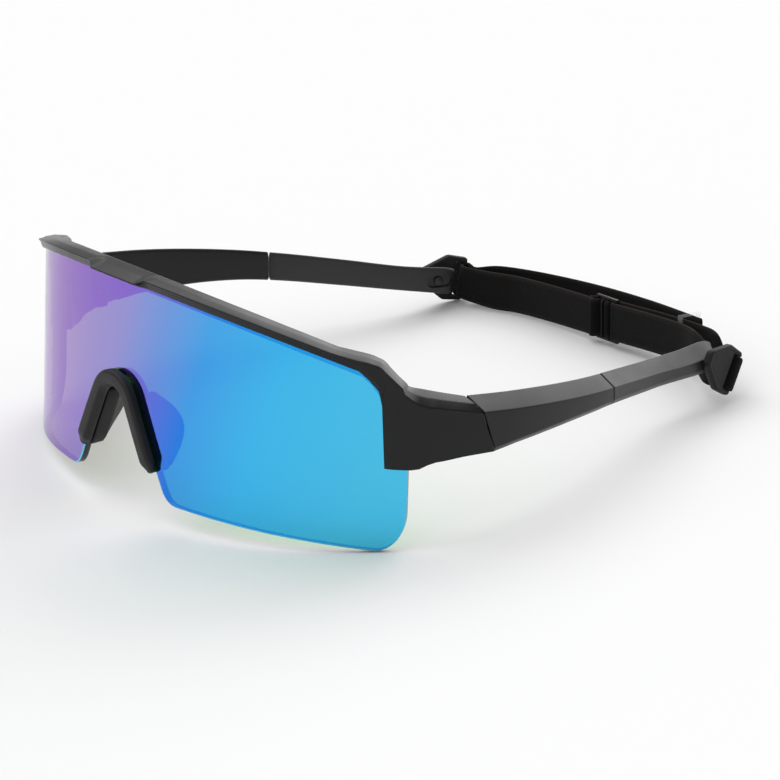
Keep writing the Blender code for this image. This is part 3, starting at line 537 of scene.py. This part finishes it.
# X, then the heights that SIDE_COLUMNS names
SIDE = (
    (59.0, -6.4, -6.1, -8.55, -10.5, -7.6),
    (62.0, -7.2, -6.7, -9.7, -11.7, -8.6),
    (63.5, -7.5, -7.1, -11.3, -13.2, -9.2),
    (65.2, -8.1, -8.0, -13.7, -16.0, -10.0),
    (65.8, -8.6, -8.7, -17.0, -20.0, -10.7),
    (66.4, -9.4, -9.6, LUG_BOTTOM, LUG_BOTTOM, -11.4),
    (67.5, -10.8, -11.1, LUG_BOTTOM, LUG_BOTTOM, -12.8),
    (68.9, -12.6, -12.8, LUG_BOTTOM, LUG_BOTTOM, -14.5),
)
SIDE_COLUMNS = {"cap": 1, "back": 2, "lip": 3, "foot": 4, "ceiling": 5}
# Share of the lug's length, then the heights of its outer top edge, inner top edge and foot
LUG = (
    (0.0, -13.9, -13.4, LUG_BOTTOM),
    (0.10, -15.2, -13.7, LUG_BOTTOM),
    (0.20, -16.2, -13.9, -30.0),
    (0.30, -16.7, -14.2, -29.2),
    (0.40, -16.9, -14.5, -28.7),
    (0.52, -17.3, -14.9, -28.5),
    (0.76, -18.0, -15.6, LUG_STEP),
    (1.0, -18.8, -16.0, -27.6),
)


def side_value(column, x):
    """One of the frame's heights at the side of the lens."""
    index = SIDE_COLUMNS[column]
    return linear_value([(row[0], row[index]) for row in SIDE], x)


def lug_plan(share):
    """Plan point on the lug's outer face, and the heading that its cross-section is square to."""
    start_x = SIDE[-1][0] + 0.3
    start_heading, end_heading = lens_heading(start_x), math.radians(LUG_END_HEADING)
    reach = LIP + GAP
    point = Vector((start_x + reach * math.sin(start_heading),
                    lens_y(start_x) - reach * math.cos(start_heading)))
    turn_length = LUG_TURN * (end_heading - start_heading)

    def arc(heading):
        return Vector((LUG_TURN * (math.sin(heading) - math.sin(start_heading)),
                       LUG_TURN * (math.cos(start_heading) - math.cos(heading))))

    straight = (SEAM_Y - point.y - arc(end_heading).y) / math.sin(end_heading)
    travel = share * (turn_length + straight)
    section = start_heading + (math.radians(LUG_END_SECTION) - start_heading) * share
    if travel <= turn_length:
        return point + arc(start_heading + travel / LUG_TURN), section
    along = Vector((math.cos(end_heading), math.sin(end_heading)))
    return point + arc(end_heading) + (travel - turn_length) * along, section


def frame_ring(plan, heading, heights, shape, tilt):
    """One cross-section of the frame with its edges rounded."""
    cap, back, lip, foot, ceiling, chamfer = heights
    proud, face, edge, depth, grooved = shape
    rear = LIP + GROOVE
    inner = (rear + 0.8, rear, 2.2, LIP) if not grooved else (rear, rear, LIP, LIP)
    outline = [
        (-proud, cap), (1.9, (cap + back) / 2 + 0.25), (depth - 0.7, back), (depth, back - 0.6),
        (depth, foot), (inner[0], foot), (inner[1], ceiling), (inner[2], ceiling), (inner[3], lip),
        (edge, lip), (face, chamfer), (0.0, cap - 0.45), (-proud, cap - 0.35),
    ]
    inward = Vector((-math.sin(heading), math.cos(heading)))
    ring = []
    for n, z in rounded(outline, 0.28):
        at = plan + inward * n
        ring.append(Vector((at.x, at.y + tilt * LENS_TILT * z, z)))
    return ring


def brow_ring(x):
    """Cross-section in front of the lens. The middle of the brow is raised as a block."""
    heading = lens_heading(x)
    raised = 1.0 - min(1.0, max(0.0, (abs(x) - BLOCK_HALF) / BLOCK_RAMP))
    reach = LIP + GAP
    plan = Vector((x + reach * math.sin(heading), lens_y(x) - reach * math.cos(heading)))
    if x < SIDE_START:
        top = brow(x)
        heights = (top + 2.0 - 1.1 * raised, top + 2.2, top, top - 2.0, top + 0.9, top + 1.3 - 0.9 * raised)
        shape = (0.3 + 0.9 * raised, 0.1 - 0.5 * raised, 0.55 - 0.5 * raised, BROW_DEPTH, True)
    else:
        row = [side_value(name, x) for name in ("cap", "back", "lip", "foot", "ceiling")]
        upright = x > 66.0
        chamfer = row[0] - 3.2 if upright else row[2] + 1.5
        face = 0.30 if upright and x < 67.0 else 0.05
        edge = 0.55 if x < 66.5 else max(0.05, 0.55 - 0.42 * (x - 66.4))
        heights = (*row, chamfer)
        shape = (0.3, face, edge, BROW_DEPTH + 0.2, True)
    return frame_ring(plan, heading, heights, shape, 1.0)


def lug_ring(share):
    """Cross-section behind the end of the lens."""
    cap, back, foot = (linear_value([(row[0], row[i]) for row in LUG], share) for i in (1, 2, 3))
    plan, heading = lug_plan(share)
    depth = BROW_DEPTH + 0.2 + (LUG_THICK - BROW_DEPTH - 0.2) * share
    heights = (cap, back, foot, foot, foot, cap - 3.2)
    ring = frame_ring(plan, heading, heights, (0.3 * (1 - share), 0.0, 0.0, depth, False), 1.0 - share)
    lean = max(0.0, (share - 0.76) / 0.24)
    return [p + Vector((0, lean * SEAM_LEAN * (cap - p.z), 0)) for p in ring]


def make_frame():
    """The brow bar with a lug at each end."""
    stations = spread(0, BLOCK_HALF, 1.4) + spread(BLOCK_HALF + 0.55, BLOCK_HALF + BLOCK_RAMP, 0.55)
    stations += spread(12.2, SIDE_START, 1.5)
    stations += [60.5, 62, 62.75, 63.5, 64.35, 65.2, 65.5, 65.8, 66.1, 66.4, 66.95, 67.5, 68.2, 68.9]
    half = [brow_ring(x) for x in stations] + [lug_ring(s) for s in spread(0.0, 1.0, 0.05)]
    rings = [[Vector((-p.x, p.y, p.z)) for p in r] for r in reversed(half[1:])] + half
    bm = loft(soft_ends(rings))
    head_radius, head_depth = 1.7, 1.8
    for side in SIDES.values():
        x, y = side * HINGE.x, HINGE.y
        middle, length = (KNUCKLE_TOP + LUG_STEP) / 2, KNUCKLE_TOP - LUG_STEP
        bm = carve(bm, cylinder((x, y, middle), (0, 0, 1), KNUCKLE_RADIUS, length), "UNION")
        reach = sorted((x - side * 12.0, x + side * (KNUCKLE_RADIUS + 0.5)))
        bm = carve(bm, block((reach[0], y - KNUCKLE_RADIUS - 0.5, TONGUE_LOW - GAP),
                             (reach[1], y + 9.0, TONGUE_HIGH + GAP)), "DIFFERENCE")
        bm = carve(bm, cylinder((x, y, LUG_STEP + 0.2), (0, 0, 1), head_radius, head_depth), "DIFFERENCE")
    new_piece("frame_moulding", bm, ("frame",), "front", ("front_frame",), 32.0)


# ---- nose bridge -----------------------------------------------------------------------------

def nose_arc():
    """Half the length of the nose line's round top."""
    return NOSE_LINE * (math.pi / 2 - math.radians(NOSE_SPREAD))


def nose_path(s):
    """Centre line of the nose bridge in X and Z, and its outward direction. s is in mm from the top."""
    lean, sign, arc = math.radians(NOSE_SPREAD), 1 if s >= 0 else -1, nose_arc()
    s = abs(s)
    if s <= arc:
        angle = math.pi / 2 - s / NOSE_LINE
        out = Vector((math.cos(angle), math.sin(angle)))
        point = Vector((0, NOSE_CENTRE)) + out * NOSE_LINE
    else:
        out, down = Vector((math.cos(lean), math.sin(lean))), Vector((math.sin(lean), -math.cos(lean)))
        point = Vector((0, NOSE_CENTRE)) + out * NOSE_LINE + down * (s - arc)
    return Vector((sign * point.x, point.y)), Vector((sign * out.x, out.y))


def nose_ring(s, outline, radius):
    """A cross-section of r outward and y back from the lens surface, placed on the nose line."""
    point, out = nose_path(s)
    base = lens_y(point.x, point.y)
    return [Vector((point.x + out.x * r, base + y, point.y + out.y * r)) for r, y in rounded(outline, radius)]


def make_nose_bridge():
    """The clip that grips the edge of the lens's nose cut-out."""
    end = nose_arc() + NOSE_LEG
    rings = []
    for s in spread(-end, end, 0.7):
        tail = max(0.0, 1.0 - (end - abs(s)) / 3.0)
        tail = tail * tail * (3 - 2 * tail)
        width = 1.0 - 0.45 * tail
        open_pad = min(1.0, max(0.0, (abs(s) - 3.0) / 3.5))
        inner = -2.2 + 1.55 * open_pad
        front = -2.3 + 0.9 * tail
        outline = [
            (1.7 * width, front + 0.5), (1.7 * width, -GAP), (0.0, -GAP), (0.0, LENS_THICK + GAP),
            (1.3 * width, LENS_THICK + GAP), (1.3 * width, 3.3), (inner * width, 3.3), (inner * width, -0.4),
            (-2.2 * width - 0.01, -0.45), (-2.2 * width - 0.01, front + 1.0), (-1.3 * width, front),
            (1.1 * width, front),
        ]
        rings.append(nose_ring(s, outline, 0.32))
    new_piece("bridge_clip", loft(soft_ends(rings, 0.3)), ("bridge",), "front",
              ("nose_bridge",))


def make_nose_pads():
    """Two soft pads, flared out towards the face."""
    arc = nose_arc()
    first, last = 6.8, arc + NOSE_LEG - 0.6
    for name, side in SIDES.items():
        rings = []
        for k in spread(0, 8, 0.4):
            swell = math.sin(math.pi * min(1.0, (k + 0.6) / 8.8))
            rear = 3.8 + 5.2 * swell
            flare = 0.9 + 2.0 * swell
            end = max(0.0, 1.0 - min(k, 8 - k))
            inner = -2.3 + 0.5 * end
            outline = [
                (-0.95, -0.05), (-0.95, 3.6), (0.6, 3.6), (flare, rear - 0.6), (flare - 0.5, rear),
                (flare - 1.3, rear - 0.2), (inner + 0.2, 3.3), (inner, 0.0),
            ]
            rings.append(nose_ring(side * (first + (last - first) * k / 8), outline, 0.35))
        new_piece("pad_" + name, loft(soft_ends(rings, 0.35)), ("rubber",), "front",
                  ("nose_pad_" + name,), 50.0)


# ---- temples ---------------------------------------------------------------------------------

def temple_frame(y):
    """Plan point on the temple's centre line, its outward and rearward directions, on the left side."""
    here = Vector((smooth_value(TEMPLE_PLAN, y), y))
    along = (Vector((smooth_value(TEMPLE_PLAN, y + 0.5), y + 0.5)) - here).normalized()
    return here, Vector((along.y, -along.x)), along


def temple_rise(y, side):
    """The twist that the strap gives the temples: the left one rises towards its end, the right one drops."""
    return side * TIP_RISE * ((y - SEAM_Y) / (PIVOT_Y - SEAM_Y))**3 if y > SEAM_Y else 0.0


def temple_ring(y, side, lean=0.0, shrink=0.0):
    """Cross-section of the temple with its edges rounded."""
    here, out, _ = temple_frame(y)
    half = smooth_value(TEMPLE_WIDTH, y) / 2 - shrink
    top = smooth_value(TEMPLE_TOP, y) - shrink + temple_rise(y, side)
    low = smooth_value(TEMPLE_LOW, y) + shrink + temple_rise(y, side)
    outline = [
        (-half, top - 0.5), (-half + 0.5, top), (half - 0.25, top - TOP_SLOPE + 0.2), (half, top - TOP_SLOPE),
        (half, low + 1.3), (half - 1.2, low), (-half + 0.5, low), (-half, low + 0.5),
    ]
    ring = []
    for n, z in rounded(outline, 0.30):
        at = here + out * n
        ring.append(Vector((side * at.x, at.y + lean * (top - z), z)))
    return ring


def connector_axes(side):
    """Pivot point, outward axis and rearward axis of a strap connector."""
    here, out, along = temple_frame(PIVOT_Y)
    height = PIVOT_Z + temple_rise(PIVOT_Y, side)
    return (Vector((side * here.x, here.y, height)), Vector((side * out.x, out.y, 0)),
            Vector((side * along.x, along.y, 0)))


def oval(centre, axis, along, half_long, half_wide, deep, arc_steps=10):
    """A straight-sided slot shape with round ends."""
    across = axis.cross(along)
    points = []
    for end in (1, -1):
        for i in range(arc_steps + 1):
            angle = math.pi * i / arc_steps - math.pi / 2
            u = end * (half_long - half_wide + half_wide * math.cos(angle))
            points.append(centre + along * u + across * end * half_wide * math.sin(angle))
    return loft([[p - axis * deep / 2 for p in points], [p + axis * deep / 2 for p in points]])


def make_temples():
    """For each side, the arm that the hinge carries and the tip that plugs onto it."""
    seam_gap, seam_reach, tip_turn_y, tip_turn = 0.2, 9.7, 118.0, 4.2
    for name, side in SIDES.items():
        body = "temple_" + name
        start = SEAM_Y + seam_gap - SEAM_LEAN * TOP_SLOPE
        rings = [temple_ring(y, side, SEAM_LEAN * max(0.0, 1 - (y - start) / seam_reach))
                 for y in spread(start, TEMPLE_SPLIT - 0.15, 1.35)]
        bm = loft(soft_ends(rings))
        x, y = side * HINGE.x, HINGE.y
        middle, length = (TONGUE_LOW + TONGUE_HIGH) / 2, TONGUE_HIGH - TONGUE_LOW
        bm = carve(bm, cylinder((x, y, middle), (0, 0, 1), KNUCKLE_RADIUS, length), "UNION")
        neck = sorted((x - side * 0.8, x + side * 2.4))
        bm = carve(bm, block((neck[0], y, TONGUE_LOW), (neck[1], y + 8.0, TONGUE_HIGH)), "UNION")
        new_piece("arm_" + name, bm, ("arm",), body, ("temple_arm_" + name,), 32.0)

        rings = [temple_ring(y, side) for y in spread(TEMPLE_SPLIT + 0.15, tip_turn_y, 1.3)]
        for k in spread(0.2, 1.0, 0.2):
            shrink = 0.9 * (1 - math.sqrt(max(0.0, 1 - k * k * 0.98)))
            rings.append(temple_ring(tip_turn_y + tip_turn * k, side, -0.22 * k, shrink))
        bm = loft(soft_ends(rings))
        pivot, out, along = connector_axes(side)
        half = smooth_value(TEMPLE_WIDTH, PIVOT_Y) / 2
        bm = carve(bm, oval(pivot - out * (half + 0.4), out, along, 3.1, 1.45, 2.4), "DIFFERENCE")
        new_piece("tip_" + name, bm, ("tip",), body, ("temple_tip_" + name,), 32.0)


# ---- strap connectors ------------------------------------------------------------------------

def plate_outline(arc_steps=7):
    """The plate's rounded triangle, apex forward, with the strap bar at its rear."""
    corners = [(-2.7, 1.6, 1.5), (3.4, PLATE_HALF, 1.6), (BAR_END, PLATE_HALF - 0.3, 0.7),
               (BAR_END, -PLATE_HALF + 0.3, 0.7), (3.4, -PLATE_HALF, 1.6), (-2.7, -1.6, 1.5)]
    points = []
    for i, (u, v, radius) in enumerate(corners):
        here = Vector((u, v))
        before = (Vector(corners[i - 1][:2]) - here).normalized()
        after = (Vector(corners[(i + 1) % len(corners)][:2]) - here).normalized()
        half_angle = before.angle(after) / 2
        reach = radius / math.tan(half_angle)
        centre = here + (before + after).normalized() * radius / math.sin(half_angle)
        first, last = here + before * reach - centre, here + after * reach - centre
        for k in range(arc_steps + 1):
            t = k / arc_steps
            points.append(centre + (first * (1 - t) + last * t).normalized() * radius)
    return points


def connector_turn(name, side):
    """The connector's pivot and its outward, rearward and upward directions as it hangs at rest."""
    pivot, out, along = connector_axes(side)
    drop = math.radians(CONNECTOR_DROP[name])
    back = along * math.cos(drop) - Vector((0, 0, 1)) * math.sin(drop)
    up = Vector((0, 0, 1)) * math.cos(drop) + along * math.sin(drop)
    return pivot, out, back, up


def make_connectors():
    """Each plate has a raised rim round a slightly hollow face, and a round bar behind its slot."""
    for name, side in SIDES.items():
        pivot, out, back, up = connector_turn(name, side)
        near = smooth_value(TEMPLE_WIDTH, PIVOT_Y) / 2 + GAP
        layers = []
        # Height over the plate's inner face, and how far the outline is drawn in
        profile = [(0.0, 0.45), (0.12, 0.18), (0.4, 0.0), (PLATE_THICK - 0.55, 0.0),
                   (PLATE_THICK - 0.22, 0.12), (PLATE_THICK - 0.04, 0.36), (PLATE_THICK, 0.65),
                   (PLATE_THICK - 0.06, 0.95), (PLATE_THICK - 0.30, 1.25), (PLATE_THICK - 0.34, 1.7)]
        middle = Vector((2.4, 0.0))
        for n, inset in profile:
            ring = []
            for point in plate_outline():
                drawn = point + (middle - point).normalized() * inset
                ring.append(pivot + back * drawn.x + up * drawn.y + out * (near + n))
            layers.append(ring)
        bm = loft(layers)

        def prism(end, low, high):
            corners = [(PLATE_REAR, WINDOW_HALF), (end, WINDOW_HALF),
                       (end, -WINDOW_HALF), (PLATE_REAR, -WINDOW_HALF)]
            return loft([[pivot + back * u + up * v + out * n for u, v in corners] for n in (low, high)])

        bm = carve(bm, prism(SLOT_END, near - 1, near + 4), "DIFFERENCE")
        bm = carve(bm, prism(BAR_END + 2, near + BAR_SHAVE, near + 4), "DIFFERENCE")
        new_piece("connector_" + name, bm, ("rubber",), "connector_" + name,
                  ("strap_connector_" + name,), 38.0)


# ---- strap -----------------------------------------------------------------------------------

def ribbon(stations):
    """A band with rounded sides through stations of (point, across). Its UV map is length and width in mm."""
    bm = bmesh.new()
    layer = bm.loops.layers.uv.new("strap")
    count = len(stations)
    upper = [(-0.5, 0.25), (-0.47, 0.42), (-0.40, 0.5), (0.0, 0.5), (0.40, 0.5), (0.47, 0.42), (0.5, 0.25)]
    profile = upper + [(-v, -n) for v, n in upper]
    rows, travel, places = [], 0.0, []
    for i, (point, across) in enumerate(stations):
        ahead = stations[min(i + 1, count - 1)][0] - stations[max(i - 1, 0)][0]
        normal = ahead.cross(across).normalized()
        if i:
            travel += (point - stations[i - 1][0]).length
        places.append(travel)
        rows.append([bm.verts.new(point + across * v + normal * STRAP_THICK * n) for v, n in profile])
    size = len(profile)
    wide = stations[0][1].length
    for i in range(count - 1):
        for k in range(size):
            j = (k + 1) % size
            face = bm.faces.new((rows[i][k], rows[i][j], rows[i + 1][j], rows[i + 1][k]))
            for loop, (row, col) in zip(face.loops, ((i, k), (i, j), (i + 1, j), (i + 1, k))):
                loop[layer].uv = (places[row], profile[col][0] * wide)
    for row in (rows[0], rows[-1]):
        bm.faces.new(row)
    return bm


def curve_through(points, per_span=8):
    """Catmull-Rom points through a list of (position, across) stations."""
    result = []
    count = len(points)
    for i in range(count - 1):
        quad = [points[max(i - 1, 0)], points[i], points[i + 1], points[min(i + 2, count - 1)]]
        for k in range(per_span):
            t = k / per_span
            pair = []
            for part in (0, 1):
                a, b, c, d = (q[part] for q in quad)
                pair.append(0.5 * (2 * b + (c - a) * t + (2 * a - 5 * b + 4 * c - d) * t**2
                                   + (3 * b - 3 * c + d - a) * t**3))
            result.append(tuple(pair))
    result.append(points[-1])
    return result


def loop_points(name, side):
    """Stations that carry the strap through a connector's slot from inside and round its bar."""
    pivot, out, back, up = connector_turn(name, side)
    near = smooth_value(TEMPLE_WIDTH, PIVOT_Y) / 2 + GAP
    bar_front, bar_back = near - 0.05, near + BAR_SHAVE
    slot_u = (PLATE_REAR + SLOT_END) / 2
    rear_u = BAR_END + GAP + STRAP_THICK / 2
    reach = GAP + STRAP_THICK / 2
    places = [(slot_u, bar_front - 4.0), (slot_u, bar_front - 1.0), (slot_u, bar_front + 0.3),
              (slot_u + 0.15, bar_back + 0.3), (slot_u + 0.75, bar_back + reach + 0.1),
              (rear_u - 0.7, bar_back + reach), (rear_u, bar_back - 0.1), (rear_u, bar_front - 0.4),
              (rear_u + 0.5, bar_front - 3.0)]
    return [(pivot + back * u + out * n, up * LOOP_WIDTH) for u, n in places]


def strap_z(x):
    """Height of the strap's middle, which drops a little towards the right."""
    return STRAP_Z + STRAP_LEAN * x


def at(x, y, lift=0.0):
    """A strap station."""
    return Vector((x, y, strap_z(x) + lift)), Vector((0, 0, STRAP_WIDTH))


def strap_piece(name, stations, bodies, replaced=()):
    """One stretch of strap. It rides on one body, or, lying between two, is left unattached."""
    made = new_piece(name, ribbon(stations), ("elastic",), None if len(bodies) == 2 else bodies[0],
                     replaced, 60.0)
    if len(bodies) == 2:
        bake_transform(made)


def cut_at(stations, places):
    """Splits a run of stations where it crosses each X in turn, with the cut station in both stretches."""
    stretches, rest = [], list(stations)
    for x in places:
        for i in range(len(rest) - 1):
            a, b = rest[i][0].x, rest[i + 1][0].x
            if (a - x) * (b - x) <= 0 and a != b:
                t = (x - a) / (b - a)
                cut = (rest[i][0].lerp(rest[i + 1][0], t), rest[i][1].lerp(rest[i + 1][1], t))
                stretches.append(rest[:i + 1] + [cut])
                rest = [cut] + rest[i + 1:]
                break
    return stretches + [rest]


SLIDER_REACH, TEMPLE_REACH = 15.0, 44.4   # distance from the middle where the strap's stretches meet
TURN_REACH = 4.0                          # distance from the slider's middle where they meet its turns
# The turns round the slider's outer bars, from the slider's middle
TURNS = {
    "short_turn": ((TURN_REACH, 1.2), (3.2, 1.128), (2.42, 0.0), (3.2, -1.15), (TURN_REACH, -1.15)),
    "long_turn": ((-TURN_REACH, -2.01), (-3.2, -1.8894), (-2.42, 0.0), (-3.2, 0.85), (-TURN_REACH, 0.95),
                  (-5.2, 0.25), (-6.4, -0.29)),
}


def make_length(length, side, stations, slider_end, last):
    """One length of elastic, split where it changes from one moving body to the next."""
    temple, connector, sign = "temple_" + side, "connector_" + side, SIDES[side]
    plan = ((length + "_at_slider", ("slider", "front"), (slider_end, 14.5)),
            (length + "_inner", ("front", temple), (15.5, 44.0)),
            (length + "_loop", (temple, connector), (45.0, 49.5)),
            (length + "_outer", ("front", temple), (15.5, 44.0)), last)
    meets = [sign * x for x in (SLIDER_REACH, TEMPLE_REACH, TEMPLE_REACH, SLIDER_REACH)]
    for stretch, (name, bodies, reach) in zip(cut_at(curve_through(stations), meets), plan):
        strap_piece(name, stretch, bodies,
                    ("strap_" + length,) if name == length + "_loop" else ())


def make_straps():
    """Both lengths of elastic. Each doubles back through its connector."""
    short = [at(SLIDER_X + TURN_REACH, STRAP_INNER_Y), at(18, 128.5), at(31, 127.9), at(39, 125.6)]
    short += loop_points("left", 1)
    short += [at(43.5, 128.0), at(34, STRAP_OUTER_Y), at(20, STRAP_OUTER_Y + 0.5),
              at(SLIDER_X + TURN_REACH, STRAP_OUTER_Y)]
    make_length("short", "left", short, 6.0, ("short_outer_at_slider", ("slider", "front"), (6.0, 14.5)))
    long = [at(SLIDER_X - TURN_REACH, STRAP_INNER_Y), at(-18, 128.5), at(-31, 127.9), at(-39, 125.9)]
    long += loop_points("right", -1)
    long += [at(-42, 130.6, 0.2), at(-28, 133.4, 0.5), at(-8, 134.6, 0.8), at(12, 134.3, 0.8),
             at(31.5, 132.9, 0.5)]
    make_length("long", "right", long, 3.0, ("long_tail", ("front",), ()))


def make_slider_turns():
    """Each length turns round one outer bar of the slider, and a sewn wrap fills both slots."""
    for name, stations in TURNS.items():
        turn = [at(SLIDER_X + x, SLIDER_Y + y) for x, y in stations]
        strap_piece(name, curve_through(turn), ("slider",))
    half_wide, half_deep, squareness, opening, steps = 1.30, 1.00, 0.6, 8.0, 32
    wrap = []
    for k in range(steps + 1):
        angle = math.radians(opening + (360.0 - 2 * opening) * k / steps)
        across, deep = math.sin(angle), -math.cos(angle)
        wrap.append(at(SLIDER_X + half_wide * math.copysign(abs(across) ** squareness, across),
                       SLIDER_Y + half_deep * math.copysign(abs(deep) ** squareness, deep)))
    strap_piece("middle_wrap", wrap, ("slider",))


# ---- small parts -----------------------------------------------------------------------------

def small_part(node, name, finish, body, width):
    """A finer copy of a small CAD part, with its edges broken."""
    bm = bmesh.new()
    bm.from_mesh(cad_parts[node].data)
    bmesh.ops.remove_doubles(bm, verts=bm.verts, dist=2e-6)
    bmesh.ops.dissolve_limit(bm, angle_limit=math.radians(1.0), verts=bm.verts, edges=bm.edges)
    edges = [e for e in bm.edges if len(e.link_faces) == 2 and e.calc_face_angle() > math.radians(35)]
    bmesh.ops.bevel(bm, geom=edges, offset=width * MM, segments=2, profile=0.5, affect="EDGES",
                    clamp_overlap=True)
    mesh = bpy.data.meshes.new(name)
    bm.to_mesh(mesh)
    bm.free()
    mesh.shade_smooth()
    mesh.set_sharp_from_angle(angle=math.radians(35))
    made = bpy.data.objects.new(name, mesh)
    bpy.context.scene.collection.objects.link(made)
    mesh.materials.append(MATERIALS[finish])
    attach(made, body)
    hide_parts(node)


def make_small_parts():
    """The slider, keeper, screws and inserts."""
    small_part("strap_slider", "slider_plate", "slider", "slider", 0.18)
    small_part("tail_keeper", "keeper_ring", "clear", "keeper", 0.14)
    for name in SIDES:
        small_part("hinge_screw_" + name, "hinge_pin_" + name, "steel", "front", 0.08)
        small_part("hinge_insert_" + name, "insert_" + name, "steel", "front", 0.08)
        small_part("connector_screw_" + name, "pivot_pin_" + name, "blackened", "temple_" + name,
                   0.08)


# ---- camera, floor and light -----------------------------------------------------------------

CAMERA_PLACE = Vector((900.72, -550.29, 283.10))     # in the design frame
CAMERA_TURN, CAMERA_RISE, CAMERA_ROLL = 55.461, 16.326, -0.485
CAMERA_LENS = 235.6


def make_camera():
    """The camera, at the photograph's distance and angle."""
    turn, rise, roll = (math.radians(v) for v in (CAMERA_TURN, CAMERA_RISE, CAMERA_ROLL))
    back = Vector((math.sin(turn) * math.cos(rise), -math.cos(turn) * math.cos(rise), math.sin(rise)))
    right = Vector((math.cos(turn), math.sin(turn), 0))
    up = back.cross(right)
    right, up = (right * math.cos(roll) + up * math.sin(roll), up * math.cos(roll) - right * math.sin(roll))
    pose = Matrix((right, up, back)).transposed().to_4x4()
    pose.translation = CAMERA_PLACE * MM
    data = bpy.data.cameras.new("camera")
    data.lens, data.sensor_width = CAMERA_LENS, 36.0
    data.clip_start, data.clip_end = 0.01, 100.0
    camera = bpy.data.objects.new("camera", data)
    camera.matrix_world = STANCE @ pose
    bpy.context.scene.collection.objects.link(camera)
    bpy.context.scene.camera = camera


def soft_sun(name, turn, rise, spread_angle, power):
    """Parallel light from a wide patch of sky, at a turn round Z and a rise above the floor, in degrees."""
    data = bpy.data.lights.new(name, "SUN")
    data.energy, data.angle = power, math.radians(spread_angle)
    lamp = bpy.data.objects.new(name, data)
    turn, rise = math.radians(turn), math.radians(rise)
    toward = Vector((math.cos(turn) * math.cos(rise), math.sin(turn) * math.cos(rise), math.sin(rise)))
    lamp.rotation_euler = toward.to_track_quat("Z", "Y").to_euler()
    bpy.context.scene.collection.objects.link(lamp)


def make_studio():
    """A pale floor, a pale surround and three soft lights, the strongest one high behind the glasses."""
    floor_half, floor_drop, floor_grey, sky_strength = 12.0, 0.0002, 0.93, 0.42
    bm = bmesh.new()
    bmesh.ops.create_grid(bm, x_segments=1, y_segments=1, size=floor_half)
    mesh = bpy.data.meshes.new("floor")
    bm.to_mesh(mesh)
    bm.free()
    floor = bpy.data.objects.new("floor", mesh)
    floor.location.z = -floor_drop
    bpy.context.scene.collection.objects.link(floor)
    made, _, _, shader = start_material("floor_paint", grey(floor_grey), 0.9, 0.0, 0.0)
    mesh.materials.append(made)
    surround = bpy.data.worlds.new("studio")
    surround.use_nodes = True
    sky = surround.node_tree.nodes["Background"]
    sky.inputs["Color"].default_value = (1.0, 1.0, 1.0, 1.0)
    sky.inputs["Strength"].default_value = sky_strength
    bpy.context.scene.world = surround
    soft_sun("back", 160.0, 62.0, 70.0, 1.30)
    soft_sun("low", 112.0, 22.0, 56.0, 1.30)
    soft_sun("front", -100.0, 50.0, 80.0, 0.50)
    bpy.context.scene.view_settings.view_transform = "Standard"


make_camera()
make_studio()
make_lens()
make_frame()
make_nose_bridge()
make_nose_pads()
make_temples()
make_connectors()
make_straps()
make_slider_turns()
make_small_parts()
